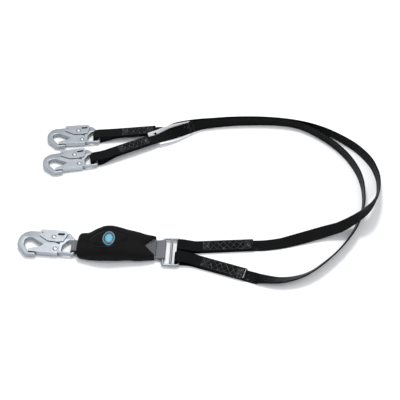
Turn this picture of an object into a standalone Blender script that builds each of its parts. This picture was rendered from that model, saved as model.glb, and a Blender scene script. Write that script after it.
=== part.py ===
"""Twin-leg shock-absorbing lanyard, laid out on a bench.

Units are metres and +Z is up. The origin is on the bench, under the middle of the box that holds
the hooks, the absorber and the sewn eyes. Hook 1 clips to the harness; hooks 2 and 3 end the legs.
"""

import math

import bmesh
import bpy
from mathutils import Matrix, Vector

MM = 0.001
COLLECTION = "shock_absorbing_lanyard"

# Webbing of the legs and of the absorber
LEG_WIDTH = 27.5 * MM
LEG_THICK = 2.6 * MM
TEAR_THICK = 2.2 * MM
RING_LOOP_WIDTH = 48 * MM
HOOK_LOOP_WIDTH = 27.5 * MM
HOOK_LOOP_FLARE = 42 * MM
# Sewn eyes of the legs: length, turn from square to the bar in degrees, where the turn starts,
# height of the sewn stretch off the bench, length of the loop, slack above the bar and slack
# beyond it
EYES = {
    "leg_a_ring": (153 * MM, 5.4, 8 * MM, 0.0, 42 * MM, 4.0 * MM, 0.0),
    "leg_b_ring": (141 * MM, -16.5, 8 * MM, 0.0, 42 * MM, 4.0 * MM, 3.0 * MM),
    "leg_a_hook": (135 * MM, -0.3, 2 * MM, 9.6 * MM, 50 * MM, 3.5 * MM, 5.0 * MM),
    "leg_b_hook": (135 * MM, 14.2, 2 * MM, 12.0 * MM, 50 * MM, 4.5 * MM, 5.0 * MM),
}
BEND_RUN = 30 * MM
EYE_SHEET = 3 * LEG_THICK + 0.4 * MM
GAP = 0.3 * MM
THREAD = 0.9 * MM

# Snap hook: layers are half-heights about its middle plane
HOOK_LENGTH = 124 * MM
BAR_BACK = 3.75 * MM
BODY_HALF = 4.0 * MM
BODY_EDGE = 2.2 * MM
GATE_INNER = 4.25 * MM
GATE_OUTER = 5.35 * MM
LOCK_INNER = 5.6 * MM
LOCK_OUTER = 6.6 * MM
RIVET_RADIUS = 2.5 * MM
RIVET_HOLE = 2.85 * MM
HEAD_RADIUS = 4.0 * MM
HEAD_HEIGHT = 0.7 * MM
HEAD_CLEARANCE = 0.2 * MM
GATE_PIVOT = (81.8 * MM, -9.3 * MM)
LOCK_PIVOT = (73.8 * MM, 20.6 * MM)
POCKET_RADIUS = 5.6 * MM
POCKET_DEPTH = 3.6 * MM
SPRING_RADIUS = 4.2 * MM
SPRING_WIRE = 0.32 * MM
SPRING_TURNS = 2.25
HOOK_LOOP_INNER = 5.1 * MM
HOOK_AXIS_Z = HOOK_LOOP_INNER + LEG_THICK

# Where each hook's webbing bar is, and how its axis is turned
HOOKS = {
    "hook_1": (-0.12605, -0.14549, -4.0),
    "hook_2": (-0.10615, 0.19041, 6.7),
    "hook_3": (-0.10565, 0.11351, 11.9),
}

# Ring with three bars, in the absorber's frame: X runs from hook 1 towards the legs
RING_ROD = 2.8 * MM
RING_SPACING = 16.5 * MM
RING_INNER = 63 * MM
RING_LEFT_BAR = 185 * MM
RING_SIDE = -1.5 * MM
RING_LOOP_INNER = RING_ROD + GAP
RING_AXIS_Z = RING_LOOP_INNER + LEG_THICK
LEG_OFFSETS = (15 * MM, -16 * MM)

# Absorber
PACK_YAW = -2.5
COVER_WALL = 1.6 * MM
COVER_SHAPE = 3.2
COVER_FLAT = 0.8 * MM
COVER_POINTS = 28
MOUTH_SLANT = 12 * MM
MOUTH_RUN = 30 * MM
NOTCH_START = 135 * MM
NOTCH_DEPTH = 22 * MM
NOTCH_HALF = 24 * MM
# Stations along the cover: distance from hook 1's bar, half width, height, sideways centre
COVER_STATIONS = [
    (6.0, 29.5, 20.0, 2.5),
    (9.0, 30.5, 22.5, 2.5),
    (14.0, 31.0, 24.0, 2.2),
    (28.0, 32.0, 27.5, 1.5),
    (45.0, 36.5, 35.0, 3.5),
    (62.0, 39.2, 41.0, 5.3),
    (78.0, 39.3, 42.0, 5.5),
    (96.0, 37.0, 39.0, 4.8),
    (115.0, 34.7, 34.0, 4.4),
    (135.0, 33.0, 30.0, 3.4),
    (150.0, 30.5, 26.5, 2.8),
    (162.0, 29.0, 23.5, 3.6),
    (168.0, 28.5, 21.0, 4.0),
]
PANEL_CENTRE = (70.0 * MM, 0.0 * MM)
PANEL_HALF = (44.0 * MM, 25.0 * MM)
PANEL_RISE = 3.6 * MM
PANEL_RIM = 1.2 * MM
PANEL_SINK = 2.0 * MM
BADGE_CENTRE = (75.0 * MM, -1.5 * MM)
BADGE_HALF = (12.0 * MM, 13.5 * MM)
BADGE_THICK = 0.8 * MM
CORE_START = 40 * MM
CORE_END = 128 * MM
CORE_WIDTH = 44 * MM
CORE_RUNS = 4
CORE_PITCH = 5.2 * MM
CORE_FLOOR = 4.5 * MM

# Routes of the legs between their sewn eyes: x, y, roll in degrees, lift off the bench in metres.
# Roll 0 lies flat and -90 stands on the edge that was the left one.
LEG_A_ROUTE = [
    (0.3047, -0.1294, 0, 0.0),
    (0.3432, -0.1199, 9, 0.001),
    (0.3957, -0.1055, 8, 0.007),
    (0.4385, -0.0965, -4, 0.0195),
    (0.4784, -0.0781, -30, 0.03),
    (0.5045, -0.0449, -60, 0.0235),
    (0.5254, -0.0026, -80, 0.007),
    (0.5343, 0.0365, -84, 0.0),
    (0.5337, 0.0671, -87, 0.0),
    (0.5244, 0.1037, -88, 0.0),
    (0.4994, 0.1454, -92, 0.0),
    (0.4639, 0.1805, -98, 0.0),
    (0.4262, 0.2070, -101, 0.0),
    (0.3818, 0.2266, -103, 0.0),
    (0.3291, 0.2381, -102, 0.0),
    (0.2700, 0.2421, -98, 0.0),
    (0.2076, 0.2404, -96, 0.0),
    (0.1490, 0.2309, -84, 0.001),
    (0.0944, 0.2149, -50, 0.006),
]
LEG_B_ROUTE = [
    (0.2578, -0.2225, -12, 0.0),
    (0.2952, -0.2289, -29, 0.0),
    (0.3325, -0.2233, -44, 0.0),
    (0.3646, -0.2079, -58, 0.0),
    (0.3981, -0.1800, -64, 0.0),
    (0.4290, -0.1482, -69, 0.0),
    (0.4587, -0.1079, -72, 0.0),
    (0.4772, -0.0706, -76, 0.0),
    (0.4905, -0.0330, -84, 0.0),
    (0.4958, -0.0006, -87, 0.0),
    (0.4971, 0.0344, -88, 0.0),
    (0.4912, 0.0734, -90, 0.0),
    (0.4745, 0.1176, -94, 0.0),
    (0.4468, 0.1600, -98, 0.0),
    (0.4107, 0.1964, -101, 0.0),
    (0.3728, 0.2222, -103, 0.0),
    (0.3293, 0.2339, -102, 0.0),
    (0.2701, 0.2371, -98, 0.0),
    (0.2058, 0.2341, -95, 0.0),
    (0.1424, 0.2233, -83, 0.002),
    (0.0861, 0.1963, -46, 0.009),
]
LEG_SAMPLES = 60
REST = 0.1 * MM
STRAP_STARTS = (0.8 * MM, 10 * MM, 28 * MM)
TIP_ROLLS = {"leg_a": -3.0, "leg_b": -3.0}
LABEL_SPAN = (0.91, 0.968)
LABEL_LOW = -15.0 * MM
LABEL_HIGH = 16.0 * MM
LABEL_THICK = 0.5 * MM

STEEL = ((0.62, 0.65, 0.69), 0.34, 1.0)
BRIGHT = ((0.78, 0.80, 0.83), 0.22, 1.0)
SPRING_STEEL = ((0.42, 0.43, 0.45), 0.35, 1.0)
BLACK_WEB = ((0.012, 0.013, 0.014), 0.55, 0.0)
GREY_WEB = ((0.22, 0.23, 0.25), 0.8, 0.0)
COVER_BLACK = ((0.018, 0.018, 0.019), 0.7, 0.0)
BADGE_BLUE = ((0.10, 0.42, 0.70), 0.5, 0.0)
LABEL_WHITE = ((0.86, 0.87, 0.88), 0.5, 0.0)
THREAD_BLACK = ((0.02, 0.02, 0.022), 0.5, 0.0)


def clear_scene():
    for obj in list(bpy.data.objects):
        bpy.data.objects.remove(obj)


def new_collection(name):
    collection = bpy.data.collections.new(name)
    bpy.context.scene.collection.children.link(collection)
    return collection


def finish(look):
    """The Principled material of a part, from its colour, roughness and metallic values."""
    colour, roughness, metallic = look
    material = bpy.data.materials.new("finish")
    material.use_nodes = True
    shader = material.node_tree.nodes["Principled BSDF"]
    shader.inputs["Base Color"].default_value = (*colour, 1.0)
    shader.inputs["Roughness"].default_value = roughness
    shader.inputs["Metallic"].default_value = metallic
    return material


def weld(mesh):
    shape = bmesh.new()
    shape.from_mesh(mesh)
    bmesh.ops.remove_doubles(shape, verts=shape.verts, dist=1e-6)
    bmesh.ops.recalc_face_normals(shape, faces=shape.faces)
    if shape.calc_volume(signed=True) < 0:
        bmesh.ops.reverse_faces(shape, faces=shape.faces)
    shape.to_mesh(mesh)
    shape.free()


def add_part(name, mesh, look, parent=None, place=Matrix.Identity(4)):
    """Adds a mesh as a named part with its own material, under its parent's frame."""
    mesh.name = name
    mesh.shade_smooth()
    mesh.set_sharp_from_angle(angle=math.radians(35))
    mesh.materials.clear()
    mesh.materials.append(finish(look))
    mesh.materials[0].name = name
    part = bpy.data.objects.new(name, mesh)
    PARTS.objects.link(part)
    part.parent = parent
    part.matrix_local = place
    return part


def add_empty(name, location, yaw):
    empty = bpy.data.objects.new(name, None)
    empty.empty_display_size = 0.02
    PARTS.objects.link(empty)
    empty.location = location
    empty.rotation_euler = (0.0, 0.0, math.radians(yaw))
    return empty


def mesh_from_curve(curve):
    """The welded mesh of a curve."""
    source = bpy.data.objects.new("source", curve)
    bpy.context.scene.collection.objects.link(source)
    graph = bpy.context.evaluated_depsgraph_get()
    mesh = bpy.data.meshes.new_from_object(source.evaluated_get(graph))
    bpy.data.objects.remove(source)
    weld(mesh)
    return mesh


def fill_spline(curve, points, closed):
    spline = curve.splines.new("POLY")
    spline.points.add(len(points) - 1)
    for slot, point in zip(spline.points, points):
        slot.co = (*point[:3], 1.0) if len(point) > 2 else (*point, 0.0, 1.0)
    spline.use_cyclic_u = closed
    return spline


def plate(outlines, thickness, edge=0.0):
    """A flat plate about its middle plane; outlines after the first are holes."""
    curve = bpy.data.curves.new("plate", "CURVE")
    curve.dimensions = "2D"
    curve.fill_mode = "BOTH"
    curve.extrude = thickness / 2 - edge
    curve.bevel_depth = edge
    curve.bevel_resolution = 1
    curve.offset = -edge
    for outline in outlines:
        fill_spline(curve, outline, True)
    return mesh_from_curve(curve)


def tube(points, radius, closed=False, sides=2):
    """A round rod along a line of points."""
    curve = bpy.data.curves.new("tube", "CURVE")
    curve.dimensions = "3D"
    curve.bevel_depth = radius
    curve.bevel_resolution = sides
    curve.use_fill_caps = not closed
    fill_spline(curve, points, closed)
    return mesh_from_curve(curve)


def rounded(corners, step=24.0):
    """An outline in metres from corners in millimetres: x, y and fillet radius."""
    points = []
    for index, (x, y, radius) in enumerate(corners):
        here = Vector((x, y)) * MM
        before = (Vector(corners[index - 1][:2]) * MM - here).normalized()
        after = (Vector(corners[(index + 1) % len(corners)][:2]) * MM - here).normalized()
        half = before.angle(after) / 2
        reach = radius * MM / math.tan(half)
        centre = here + (before + after).normalized() * (radius * MM / math.sin(half))
        start = here + before * reach - centre
        turn = start.angle_signed(here + after * reach - centre)
        count = max(1, round(abs(math.degrees(turn)) / step))
        for k in range(count + 1):
            spin = Matrix.Rotation(-turn * k / count, 2)
            points.append(tuple(centre + spin @ start))
    return points


def circle(centre, radius, count=20):
    turns = [2 * math.pi * k / count for k in range(count)]
    return [(centre[0] + radius * math.cos(t), centre[1] + radius * math.sin(t)) for t in turns]


def cutter(name, mesh, owner, place=Matrix.Identity(4)):
    """A hidden solid that is cut out of its owner."""
    tool = bpy.data.objects.new(name, mesh)
    CUTTERS.objects.link(tool)
    tool.hide_render = True
    tool.display_type = "WIRE"
    tool.parent = owner.parent
    tool.matrix_local = place
    cut = owner.modifiers.new(name, "BOOLEAN")
    cut.operation = "DIFFERENCE"
    cut.solver = "EXACT"
    cut.object = tool


def moved(mesh, offset):
    mesh.transform(Matrix.Translation(offset))
    return mesh


def smooth_step(value):
    value = min(1.0, max(0.0, value))
    return value * value * (3 - 2 * value)


# ---------------------------------------------------------------- snap hook

BODY_OUTLINE = [
    (42.5, -26.5, 2.5), (20.5, -27.0, 10.0), (0.0, -3.0, 14.0), (0.0, 36.0, 25.0), (72.5, 36.0, 2.5),
    (77.0, 25.0, 2.5), (98.0, 25.0, 2.0), (101.0, 35.0, 3.0), (107.0, 33.5, 4.0), (118.0, 19.5, 6.0),
    (124.0, 14.0, 5.0), (124.0, -20.5, 8.0), (92.0, -20.5, 1.0), (90.5, -18.6, 1.0),
    (72.0, -18.6, 8.5), (70.5, -9.0, 4.0), (64.0, -5.6, 3.0), (27.5, 17.6, 7.0), (14.0, 17.6, 7.5),
    (14.0, 0.5, 5.0), (27.0, -20.0, 5.0), (42.5, -20.0, 2.5),
]
EYE_OUTLINE = [
    (95.5, -15.5, 5.0), (116.5, -15.5, 2.5), (116.5, 15.5, 2.5), (106.0, 15.5, 5.0), (95.5, 2.5, 9.0),
]
GATE_OUTLINE = [
    (25.6, -14.0, 2.0), (26.6, -18.6, 1.0), (88.5, -21.6, 2.5), (89.2, 0.0, 4.0), (85.0, 5.0, 4.0),
    (60.0, 4.8, 4.0), (46.5, -7.0, 5.0), (33.0, -9.8, 4.0),
]
GATE_HOLLOW = [
    (20.0, -11.0, 1.0), (27.2, -17.4, 0.8), (92.0, -20.5, 1.0), (98.0, 4.0, 4.0), (84.0, 15.0, 4.0),
    (58.0, 14.0, 4.0), (40.0, 2.0, 4.0), (28.0, -2.0, 4.0),
]
LOCK_OUTLINE = [
    (42.8, 39.3, 1.5), (42.8, 22.8, 2.0), (62.0, 10.0, 3.0), (83.0, 8.2, 3.0), (95.5, 10.5, 3.0),
    (101.5, 30.0, 4.0), (98.5, 37.4, 3.0), (72.0, 39.4, 3.0),
]
LOCK_HOLLOW = [
    (38.0, 38.1, 0.8), (38.0, 18.0, 2.0), (60.0, 4.0, 3.0), (84.0, 2.0, 3.0), (100.0, 4.0, 3.0),
    (108.0, 30.0, 4.0), (103.0, 35.6, 2.0), (97.4, 36.2, 2.0), (72.0, 38.2, 3.0),
]
LOCK_WINDOW = [(80.8, 25.6, 2.3), (95.4, 25.6, 2.3), (95.4, 31.2, 2.3), (80.8, 31.2, 2.3)]
LOCK_SIGHT_HOLE = (47.5 * MM, 31.0 * MM)


def about(pivot):
    """From the outline's frame to a frame at the pivot, level with the hook's middle plane."""
    return Vector((-pivot[0], -pivot[1], 0.0))


def place_at(pivot):
    bar_x = HOOK_LENGTH - BAR_BACK
    return Matrix.Translation((pivot[0] - bar_x, pivot[1], 0.0))


def rivet_mesh(reach):
    """A shaft with a low head outside each cheek, turned about the pivot."""
    top = reach + HEAD_CLEARANCE + HEAD_HEIGHT
    neck = reach + HEAD_CLEARANCE
    half = [(0.0, top), (HEAD_RADIUS * 0.7, top), (HEAD_RADIUS, neck + HEAD_HEIGHT * 0.4),
            (HEAD_RADIUS, neck), (RIVET_RADIUS, neck)]
    profile = half + [(x, -z) for x, z in reversed(half)]
    shape = bmesh.new()
    line = [shape.verts.new((x, 0.0, z)) for x, z in profile]
    edges = [shape.edges.new(pair) for pair in zip(line, line[1:])]
    bmesh.ops.spin(shape, geom=line + edges, cent=(0, 0, 0), axis=(0, 0, 1),
                   angle=2 * math.pi, steps=20, use_duplicate=False)
    mesh = bpy.data.meshes.new("rivet")
    shape.to_mesh(mesh)
    shape.free()
    weld(mesh)
    return mesh


def spring_mesh():
    """A torsion coil that sits in the pocket around a rivet."""
    per_turn = 9
    count = int(per_turn * SPRING_TURNS) + 1
    rise = POCKET_DEPTH - 4 * SPRING_WIRE
    start = -BODY_HALF + 2 * SPRING_WIRE
    points = []
    for k in range(count):
        turn = 2 * math.pi * k / per_turn
        points.append((SPRING_RADIUS * math.cos(turn), SPRING_RADIUS * math.sin(turn),
                       start + rise * k / (count - 1)))
    mesh = tube(points, SPRING_WIRE, sides=1)
    shape = bmesh.new()
    shape.from_mesh(mesh)
    bmesh.ops.triangulate(shape, faces=shape.faces, quad_method="FIXED")
    shape.to_mesh(mesh)
    shape.free()
    return mesh


def build_hook(name, x, y, yaw):
    frame = add_empty(name, (x, y, HOOK_AXIS_Z), yaw)
    origin = (HOOK_LENGTH - BAR_BACK, 0.0)
    outlines = [rounded(BODY_OUTLINE), rounded(EYE_OUTLINE)]
    body = add_part(name + "_body", moved(plate(outlines, 2 * BODY_HALF, BODY_EDGE), about(origin)),
                    STEEL, frame)
    for label, pivot in (("gate", GATE_PIVOT), ("lock", LOCK_PIVOT)):
        hole = plate([circle((0, 0), RIVET_HOLE)], 4 * BODY_HALF)
        cutter(f"{name}_{label}_hole", hole, body, place_at(pivot))
        pocket = plate([circle((0, 0), POCKET_RADIUS, 24)], POCKET_DEPTH * 2)
        low = place_at(pivot) @ Matrix.Translation((0, 0, -BODY_HALF))
        cutter(f"{name}_{label}_pocket", pocket, body, low)
        add_part(f"{name}_{label}_spring", spring_mesh(), SPRING_STEEL, frame, place_at(pivot))
    gate_rivet = rivet_mesh(GATE_OUTER)
    add_part(name + "_gate_rivet", gate_rivet, BRIGHT, frame, place_at(GATE_PIVOT))
    lock_rivet = rivet_mesh(LOCK_OUTER)
    add_part(name + "_lock_rivet", lock_rivet, BRIGHT, frame, place_at(LOCK_PIVOT))
    build_gate(name, frame)
    build_lock(name, frame)


def build_gate(name, frame):
    """A folded channel: two cheeks joined by a wall along the outer edge."""
    outline = plate([rounded(GATE_OUTLINE), circle(GATE_PIVOT, RIVET_HOLE)], 2 * GATE_OUTER, 0.5 * MM)
    gate = add_part(name + "_gate", moved(outline, about(GATE_PIVOT)), STEEL, frame,
                    place_at(GATE_PIVOT))
    hollow = plate([rounded(GATE_HOLLOW)], 2 * GATE_INNER)
    cutter(name + "_gate_hollow", moved(hollow, about(GATE_PIVOT)), gate, place_at(GATE_PIVOT))


def build_lock(name, frame):
    """A folded channel over the spine, with a window in each cheek."""
    holes = [circle(LOCK_PIVOT, RIVET_HOLE), rounded(LOCK_WINDOW, 45.0),
             circle(LOCK_SIGHT_HOLE, 1.4 * MM, 10)]
    outline = plate([rounded(LOCK_OUTLINE), *holes], 2 * LOCK_OUTER, 0.4 * MM)
    lock = add_part(name + "_lock_lever", moved(outline, about(LOCK_PIVOT)), STEEL, frame,
                    place_at(LOCK_PIVOT))
    hollow = plate([rounded(LOCK_HOLLOW)], 2 * LOCK_INNER)
    cutter(name + "_lock_hollow", moved(hollow, about(LOCK_PIVOT)), lock, place_at(LOCK_PIVOT))


# ---------------------------------------------------------------- sewn webbing eyes


def eye_profile(inner, thick, axis_z, length, base, end_base, sheet, run, slack=0.0, reach=0.0):
    """Side view of webbing wrapped round a bar at x = 0 and sewn double: outline and loop hole."""
    outer = inner + thick
    side = []
    hole = []
    for k in range(13):
        turn = math.radians(90 + 180 * k / 12)
        up = slack * max(0.0, math.sin(turn))
        side.append(((outer + reach) * math.cos(turn), axis_z + outer * math.sin(turn) + up))
        hole.append(((inner + reach) * math.cos(turn), axis_z + inner * math.sin(turn) + up))
    steps = 7
    low, high = [], []
    for k in range(1, steps + 1):
        ease = smooth_step(k / steps)
        floor = axis_z - outer + (base - axis_z + outer) * ease
        roof = axis_z + outer + slack + (base + sheet - axis_z - outer - slack) * ease
        x = run * k / steps
        low.append((x, floor))
        high.append((x, roof))
    rise = []
    for k in range(1, 9):
        x = run + (length - run) * k / 8
        rise.append((x, base + (end_base - base) * math.sin(math.pi / 2 * k / 8)))
    low_run = low + rise
    high_run = high + [(x, z + sheet) for x, z in rise]
    outline = side + low_run + list(reversed(high_run))
    low_inner = [(x, z + thick) for x, z in low[:-2]]
    high_inner = [(x, z - thick) for x, z in high[:-2]]
    return outline, hole + low_inner + list(reversed(high_inner))


def extruded_profile(profiles, width):
    """A side view in X and Z, given its width along Y."""
    mesh = plate(profiles, width)
    mesh.transform(Matrix.Rotation(math.radians(90), 4, "X"))
    return mesh


def bend_point(x, y, angle, start):
    """Lays a straight strip along a line that turns by the angle just past its loop."""
    radius = BEND_RUN / angle
    heading = angle * min(1.0, max(0.0, (x - start) / BEND_RUN))
    centre = Vector((min(x, start), 0.0))
    centre += Vector((radius * math.sin(heading), radius * (1 - math.cos(heading))))
    past = max(0.0, x - start - BEND_RUN)
    centre += past * Vector((math.cos(heading), math.sin(heading)))
    return centre + y * Vector((-math.sin(heading), math.cos(heading)))


def bent(mesh, angle, start):
    for vertex in mesh.vertices:
        vertex.co.xy = bend_point(vertex.co.x, vertex.co.y, angle, start)
    return mesh


def stitch_line(start, end, width, z, rows):
    """A zigzag of heavy thread lying on the webbing."""
    points = []
    count = 4 * rows
    for k in range(count + 1):
        side = (0, 1, 0, -1)[k % 4]
        points.append((start + (end - start) * k / count, side * width / 2, z))
    return points


def build_eye(name, parent, shift, inner, level):
    """The sewn end of a leg: a doubled strap with a loop round its bar, and its stitching."""
    length, degrees, start, height, run, slack, reach = EYES[name]
    angle = math.radians(degrees)
    base = height - level
    profiles = eye_profile(inner, LEG_THICK, 0.0, length, base, base, EYE_SHEET, run, slack, reach)
    place = Matrix.Translation((shift[0], shift[1], 0.0))
    mesh = bent(extruded_profile(profiles, LEG_WIDTH), angle, start)
    add_part(name + "_eye", mesh, BLACK_WEB, parent, place)
    top = base + EYE_SHEET + GAP + THREAD / 2
    line = stitch_line(run + 6 * MM, length - 6 * MM, LEG_WIDTH * 0.66, top, 4)
    thread = bent(tube(line, THREAD / 2, sides=1), angle, start)
    add_part(name + "_stitching", thread, THREAD_BLACK, parent, place)


def eye_end(name, matrix, shift):
    """World places on the line of a sewn eye, from just past its end."""
    length, degrees, start = EYES[name][:3]
    spot = Vector((shift[0], shift[1], 0.0))
    angle = math.radians(degrees)
    ends = [bend_point(length + past, 0.0, angle, start).to_3d() for past in STRAP_STARTS]
    return [(matrix @ (spot + end)).xy for end in ends]


# ---------------------------------------------------------------- legs


def catmull(points, samples):
    """Points at even spacing along a smooth curve through the given points."""
    ends = [2 * points[0] - points[1], *points, 2 * points[-1] - points[-2]]
    fine = []
    for a, b, c, d in zip(ends, ends[1:], ends[2:], ends[3:]):
        for k in range(24):
            t = k / 24
            fine.append(0.5 * (2 * b + (c - a) * t + (2 * a - 5 * b + 4 * c - d) * t * t
                               + (3 * b - a - 3 * c + d) * t ** 3))
    fine.append(points[-1])
    walked = [0.0]
    for a, b in zip(fine, fine[1:]):
        walked.append(walked[-1] + (b - a).to_3d().length)
    even = []
    at = 0
    for k in range(samples):
        want = walked[-1] * k / (samples - 1)
        while at < len(walked) - 2 and walked[at + 1] < want:
            at += 1
        share = (want - walked[at]) / (walked[at + 1] - walked[at])
        even.append(fine[at].lerp(fine[at + 1], share))
    return even


def leg_line(start, route, end, height, tip_roll):
    """The centre line of a leg with its roll: every point rests on the bench unless it is lifted."""
    rows = [(x, y, 0.0, 0.0) for x, y in start]
    rows += route
    for (x, y), share in zip(reversed(end), (1.0, 0.6, 0.0)):
        roll = tip_roll * share
        rows.append((x, y, roll, height - LEG_WIDTH / 2 * math.sin(math.radians(abs(roll)))))
    line = catmull([Vector((x, y, roll * MM * MM, lift)) for x, y, roll, lift in rows], LEG_SAMPLES)
    points = []
    for x, y, small_roll, lift in line:
        roll = math.radians(small_roll / MM / MM)
        rest = LEG_WIDTH / 2 * abs(math.sin(roll)) + LEG_THICK / 2 * abs(math.cos(roll))
        points.append((x, y, rest + REST + max(0.0, lift), roll))
    return points


def ribbon(points, low, high):
    """A strip swept along points that carry a roll, from one edge of its width to the other."""
    section = bpy.data.curves.new("section", "CURVE")
    section.dimensions = "2D"
    fill_spline(section, [(-high, 0.0), (-(low + high) / 2, 0.0), (-low, 0.0)], False)
    guide = bpy.data.objects.new("section", section)
    CUTTERS.objects.link(guide)
    curve = bpy.data.curves.new("ribbon", "CURVE")
    curve.dimensions = "3D"
    curve.twist_mode = "Z_UP"
    curve.bevel_mode = "OBJECT"
    curve.bevel_object = guide
    spline = fill_spline(curve, points, False)
    for slot, point in zip(spline.points, points):
        slot.tilt = point[3]
    source = bpy.data.objects.new("source", curve)
    bpy.context.scene.collection.objects.link(source)
    graph = bpy.context.evaluated_depsgraph_get()
    mesh = bpy.data.meshes.new_from_object(source.evaluated_get(graph))
    bpy.data.objects.remove(source)
    bpy.data.objects.remove(guide)
    shape = bmesh.new()
    shape.from_mesh(mesh)
    bmesh.ops.triangulate(shape, faces=shape.faces, quad_method="FIXED")
    shape.to_mesh(mesh)
    shape.free()
    return mesh


def thicken(part, thickness, lift=0.0):
    """Gives a strip its thickness, with its middle lifted off the strip by a distance."""
    web = part.modifiers.new("thickness", "SOLIDIFY")
    web.thickness = thickness
    web.offset = 2 * lift / thickness
    web.use_even_offset = True


def build_legs(ring_frame, hook_frames):
    ring_x = RING_LEFT_BAR + 2 * RING_SPACING
    legs = {
        "leg_a": (LEG_OFFSETS[0], "hook_2", LEG_A_ROUTE),
        "leg_b": (LEG_OFFSETS[1], "hook_3", LEG_B_ROUTE),
    }
    for name, (offset, hook, route) in legs.items():
        shift = (ring_x, RING_SIDE + offset)
        build_eye(name + "_ring", ring_frame, shift, RING_LOOP_INNER, RING_AXIS_Z)
        build_eye(name + "_hook", hook_frames[hook], (0, 0), HOOK_LOOP_INNER, HOOK_AXIS_Z)
        start = eye_end(name + "_ring", ring_frame.matrix_world, shift)
        end = eye_end(name + "_hook", hook_frames[hook].matrix_world, (0, 0))
        points = leg_line(start, route, end, EYES[name + "_hook"][3], TIP_ROLLS[name])
        half = LEG_WIDTH / 2
        thicken(add_part(name + "_strap", ribbon(points, -half, half), BLACK_WEB), LEG_THICK)
        if name == "leg_b":
            first, last = (round(share * (LEG_SAMPLES - 1)) for share in LABEL_SPAN)
            strip = ribbon(points[first:last + 1], LABEL_LOW, LABEL_HIGH)
            label = add_part("leg_b_label", strip, LABEL_WHITE)
            thicken(label, LABEL_THICK, -LEG_THICK / 2 - 6 * GAP - LABEL_THICK / 2)


# ---------------------------------------------------------------- absorber


def cover_size(x):
    """Half width, height and sideways centre of the cover at a distance from hook 1's bar."""
    for (x0, *low), (x1, *high) in zip(COVER_STATIONS, COVER_STATIONS[1:]):
        if x <= x1 * MM:
            share = max(0.0, (x / MM - x0) / (x1 - x0))
            return [(a + (b - a) * share) * MM for a, b in zip(low, high)]
    return [value * MM for value in COVER_STATIONS[-1][1:]]


def cover_top(x, y):
    half, height, centre = cover_size(x)
    across = min(0.98, abs((y - centre) / half))
    return height / 2 * (1 + (1 - across ** COVER_SHAPE) ** (1 / COVER_SHAPE)) - COVER_FLAT


def cover_ring(station, clearance=0.0):
    """One section of the cover: a rounded box that is flat where it lies on the bench."""
    x, half, height, centre = (value * MM for value in station)
    half += clearance
    height += clearance
    ring = []
    for k in range(COVER_POINTS):
        turn = 2 * math.pi * k / COVER_POINTS
        c, s = math.cos(turn), math.sin(turn)
        y = math.copysign(abs(c) ** (2 / COVER_SHAPE), c) * half
        z = height / 2 * (1 + math.copysign(abs(s) ** (2 / COVER_SHAPE), s)) - COVER_FLAT
        start, end = COVER_STATIONS[0][0] * MM, COVER_STATIONS[-1][0] * MM
        notch = NOTCH_DEPTH * max(0.0, 1 - abs(y) / NOTCH_HALF)
        pull = max(0.0, (x - NOTCH_START) / (end - NOTCH_START))
        push = max(0.0, 1 - (x - start) / MOUTH_RUN) * (1 - z / height)
        ring.append((x - notch * pull + MOUTH_SLANT * push, y + centre, max(0.0, z)))
    return ring


def cover_skin(clearance, capped):
    """The outer surface of the cover, grown by a clearance and with or without its ends."""
    shape = bmesh.new()
    rings = []
    for row in COVER_STATIONS:
        rings.append([shape.verts.new(point) for point in cover_ring(row, clearance)])
    for low, high in zip(rings, rings[1:]):
        for k in range(COVER_POINTS):
            m = (k + 1) % COVER_POINTS
            shape.faces.new((low[k], high[k], high[m], low[m]))
    if capped:
        for ring in (rings[0], rings[-1]):
            shape.faces.new(ring)
    bmesh.ops.recalc_face_normals(shape, faces=shape.faces)
    mesh = bpy.data.meshes.new("cover")
    shape.to_mesh(mesh)
    shape.free()
    return mesh


def build_cover(frame):
    """An open sleeve with a mouth at each end; the mouth at the ring is cut to a V."""
    cover = add_part("absorber_cover", cover_skin(0.0, False), COVER_BLACK, frame)
    shell = cover.modifiers.new("wall", "SOLIDIFY")
    shell.thickness = COVER_WALL
    shell.offset = -1.0
    return cover


def lens_points(centre, half, rows, columns, pointed):
    """Grid points inside a lens or an oval, as (x, y, share from middle to rim)."""
    grid = []
    for i in range(rows + 1):
        share = i / rows
        for k in range(columns):
            turn = 2 * math.pi * k / columns
            c, s = math.cos(turn), math.sin(turn)
            x = math.copysign(abs(c) ** pointed, c) * half[0] * share
            y = math.copysign(abs(s) ** (2.0 - pointed), s) * half[1] * share
            grid.append((centre[0] + x, centre[1] + y, share))
    return grid


def skin_panel(centre, half, rows, columns, pointed, floor, rise):
    """A closed panel between a floor surface and that floor raised by an amount."""
    grid = lens_points(centre, half, rows, columns, pointed)
    shape = bmesh.new()
    layers = []
    for lifted in (False, True):
        layer = []
        for x, y, share in grid:
            z = floor(x, y) + (rise(share) if lifted else 0.0)
            layer.append(shape.verts.new((x, y, z)))
        layers.append(layer)
    for layer in layers:
        for i in range(rows):
            for k in range(columns):
                m = (k + 1) % columns
                quad = [layer[i * columns + k], layer[(i + 1) * columns + k],
                        layer[(i + 1) * columns + m], layer[i * columns + m]]
                shape.faces.new(quad)
    rim = rows * columns
    for k in range(columns):
        m = (k + 1) % columns
        shape.faces.new([layers[0][rim + k], layers[0][rim + m], layers[1][rim + m], layers[1][rim + k]])
    mesh = bpy.data.meshes.new("panel")
    shape.to_mesh(mesh)
    shape.free()
    weld(mesh)
    return mesh


def panel_rise(share):
    return PANEL_SINK + PANEL_RIM + (PANEL_RISE - PANEL_RIM) * smooth_step(2.2 * (1 - share))


def panel_floor(x, y):
    return cover_top(x, y) - PANEL_SINK


def badge_floor(x, y):
    return cover_top(x, y) + 2 * GAP + PANEL_RISE


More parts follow.
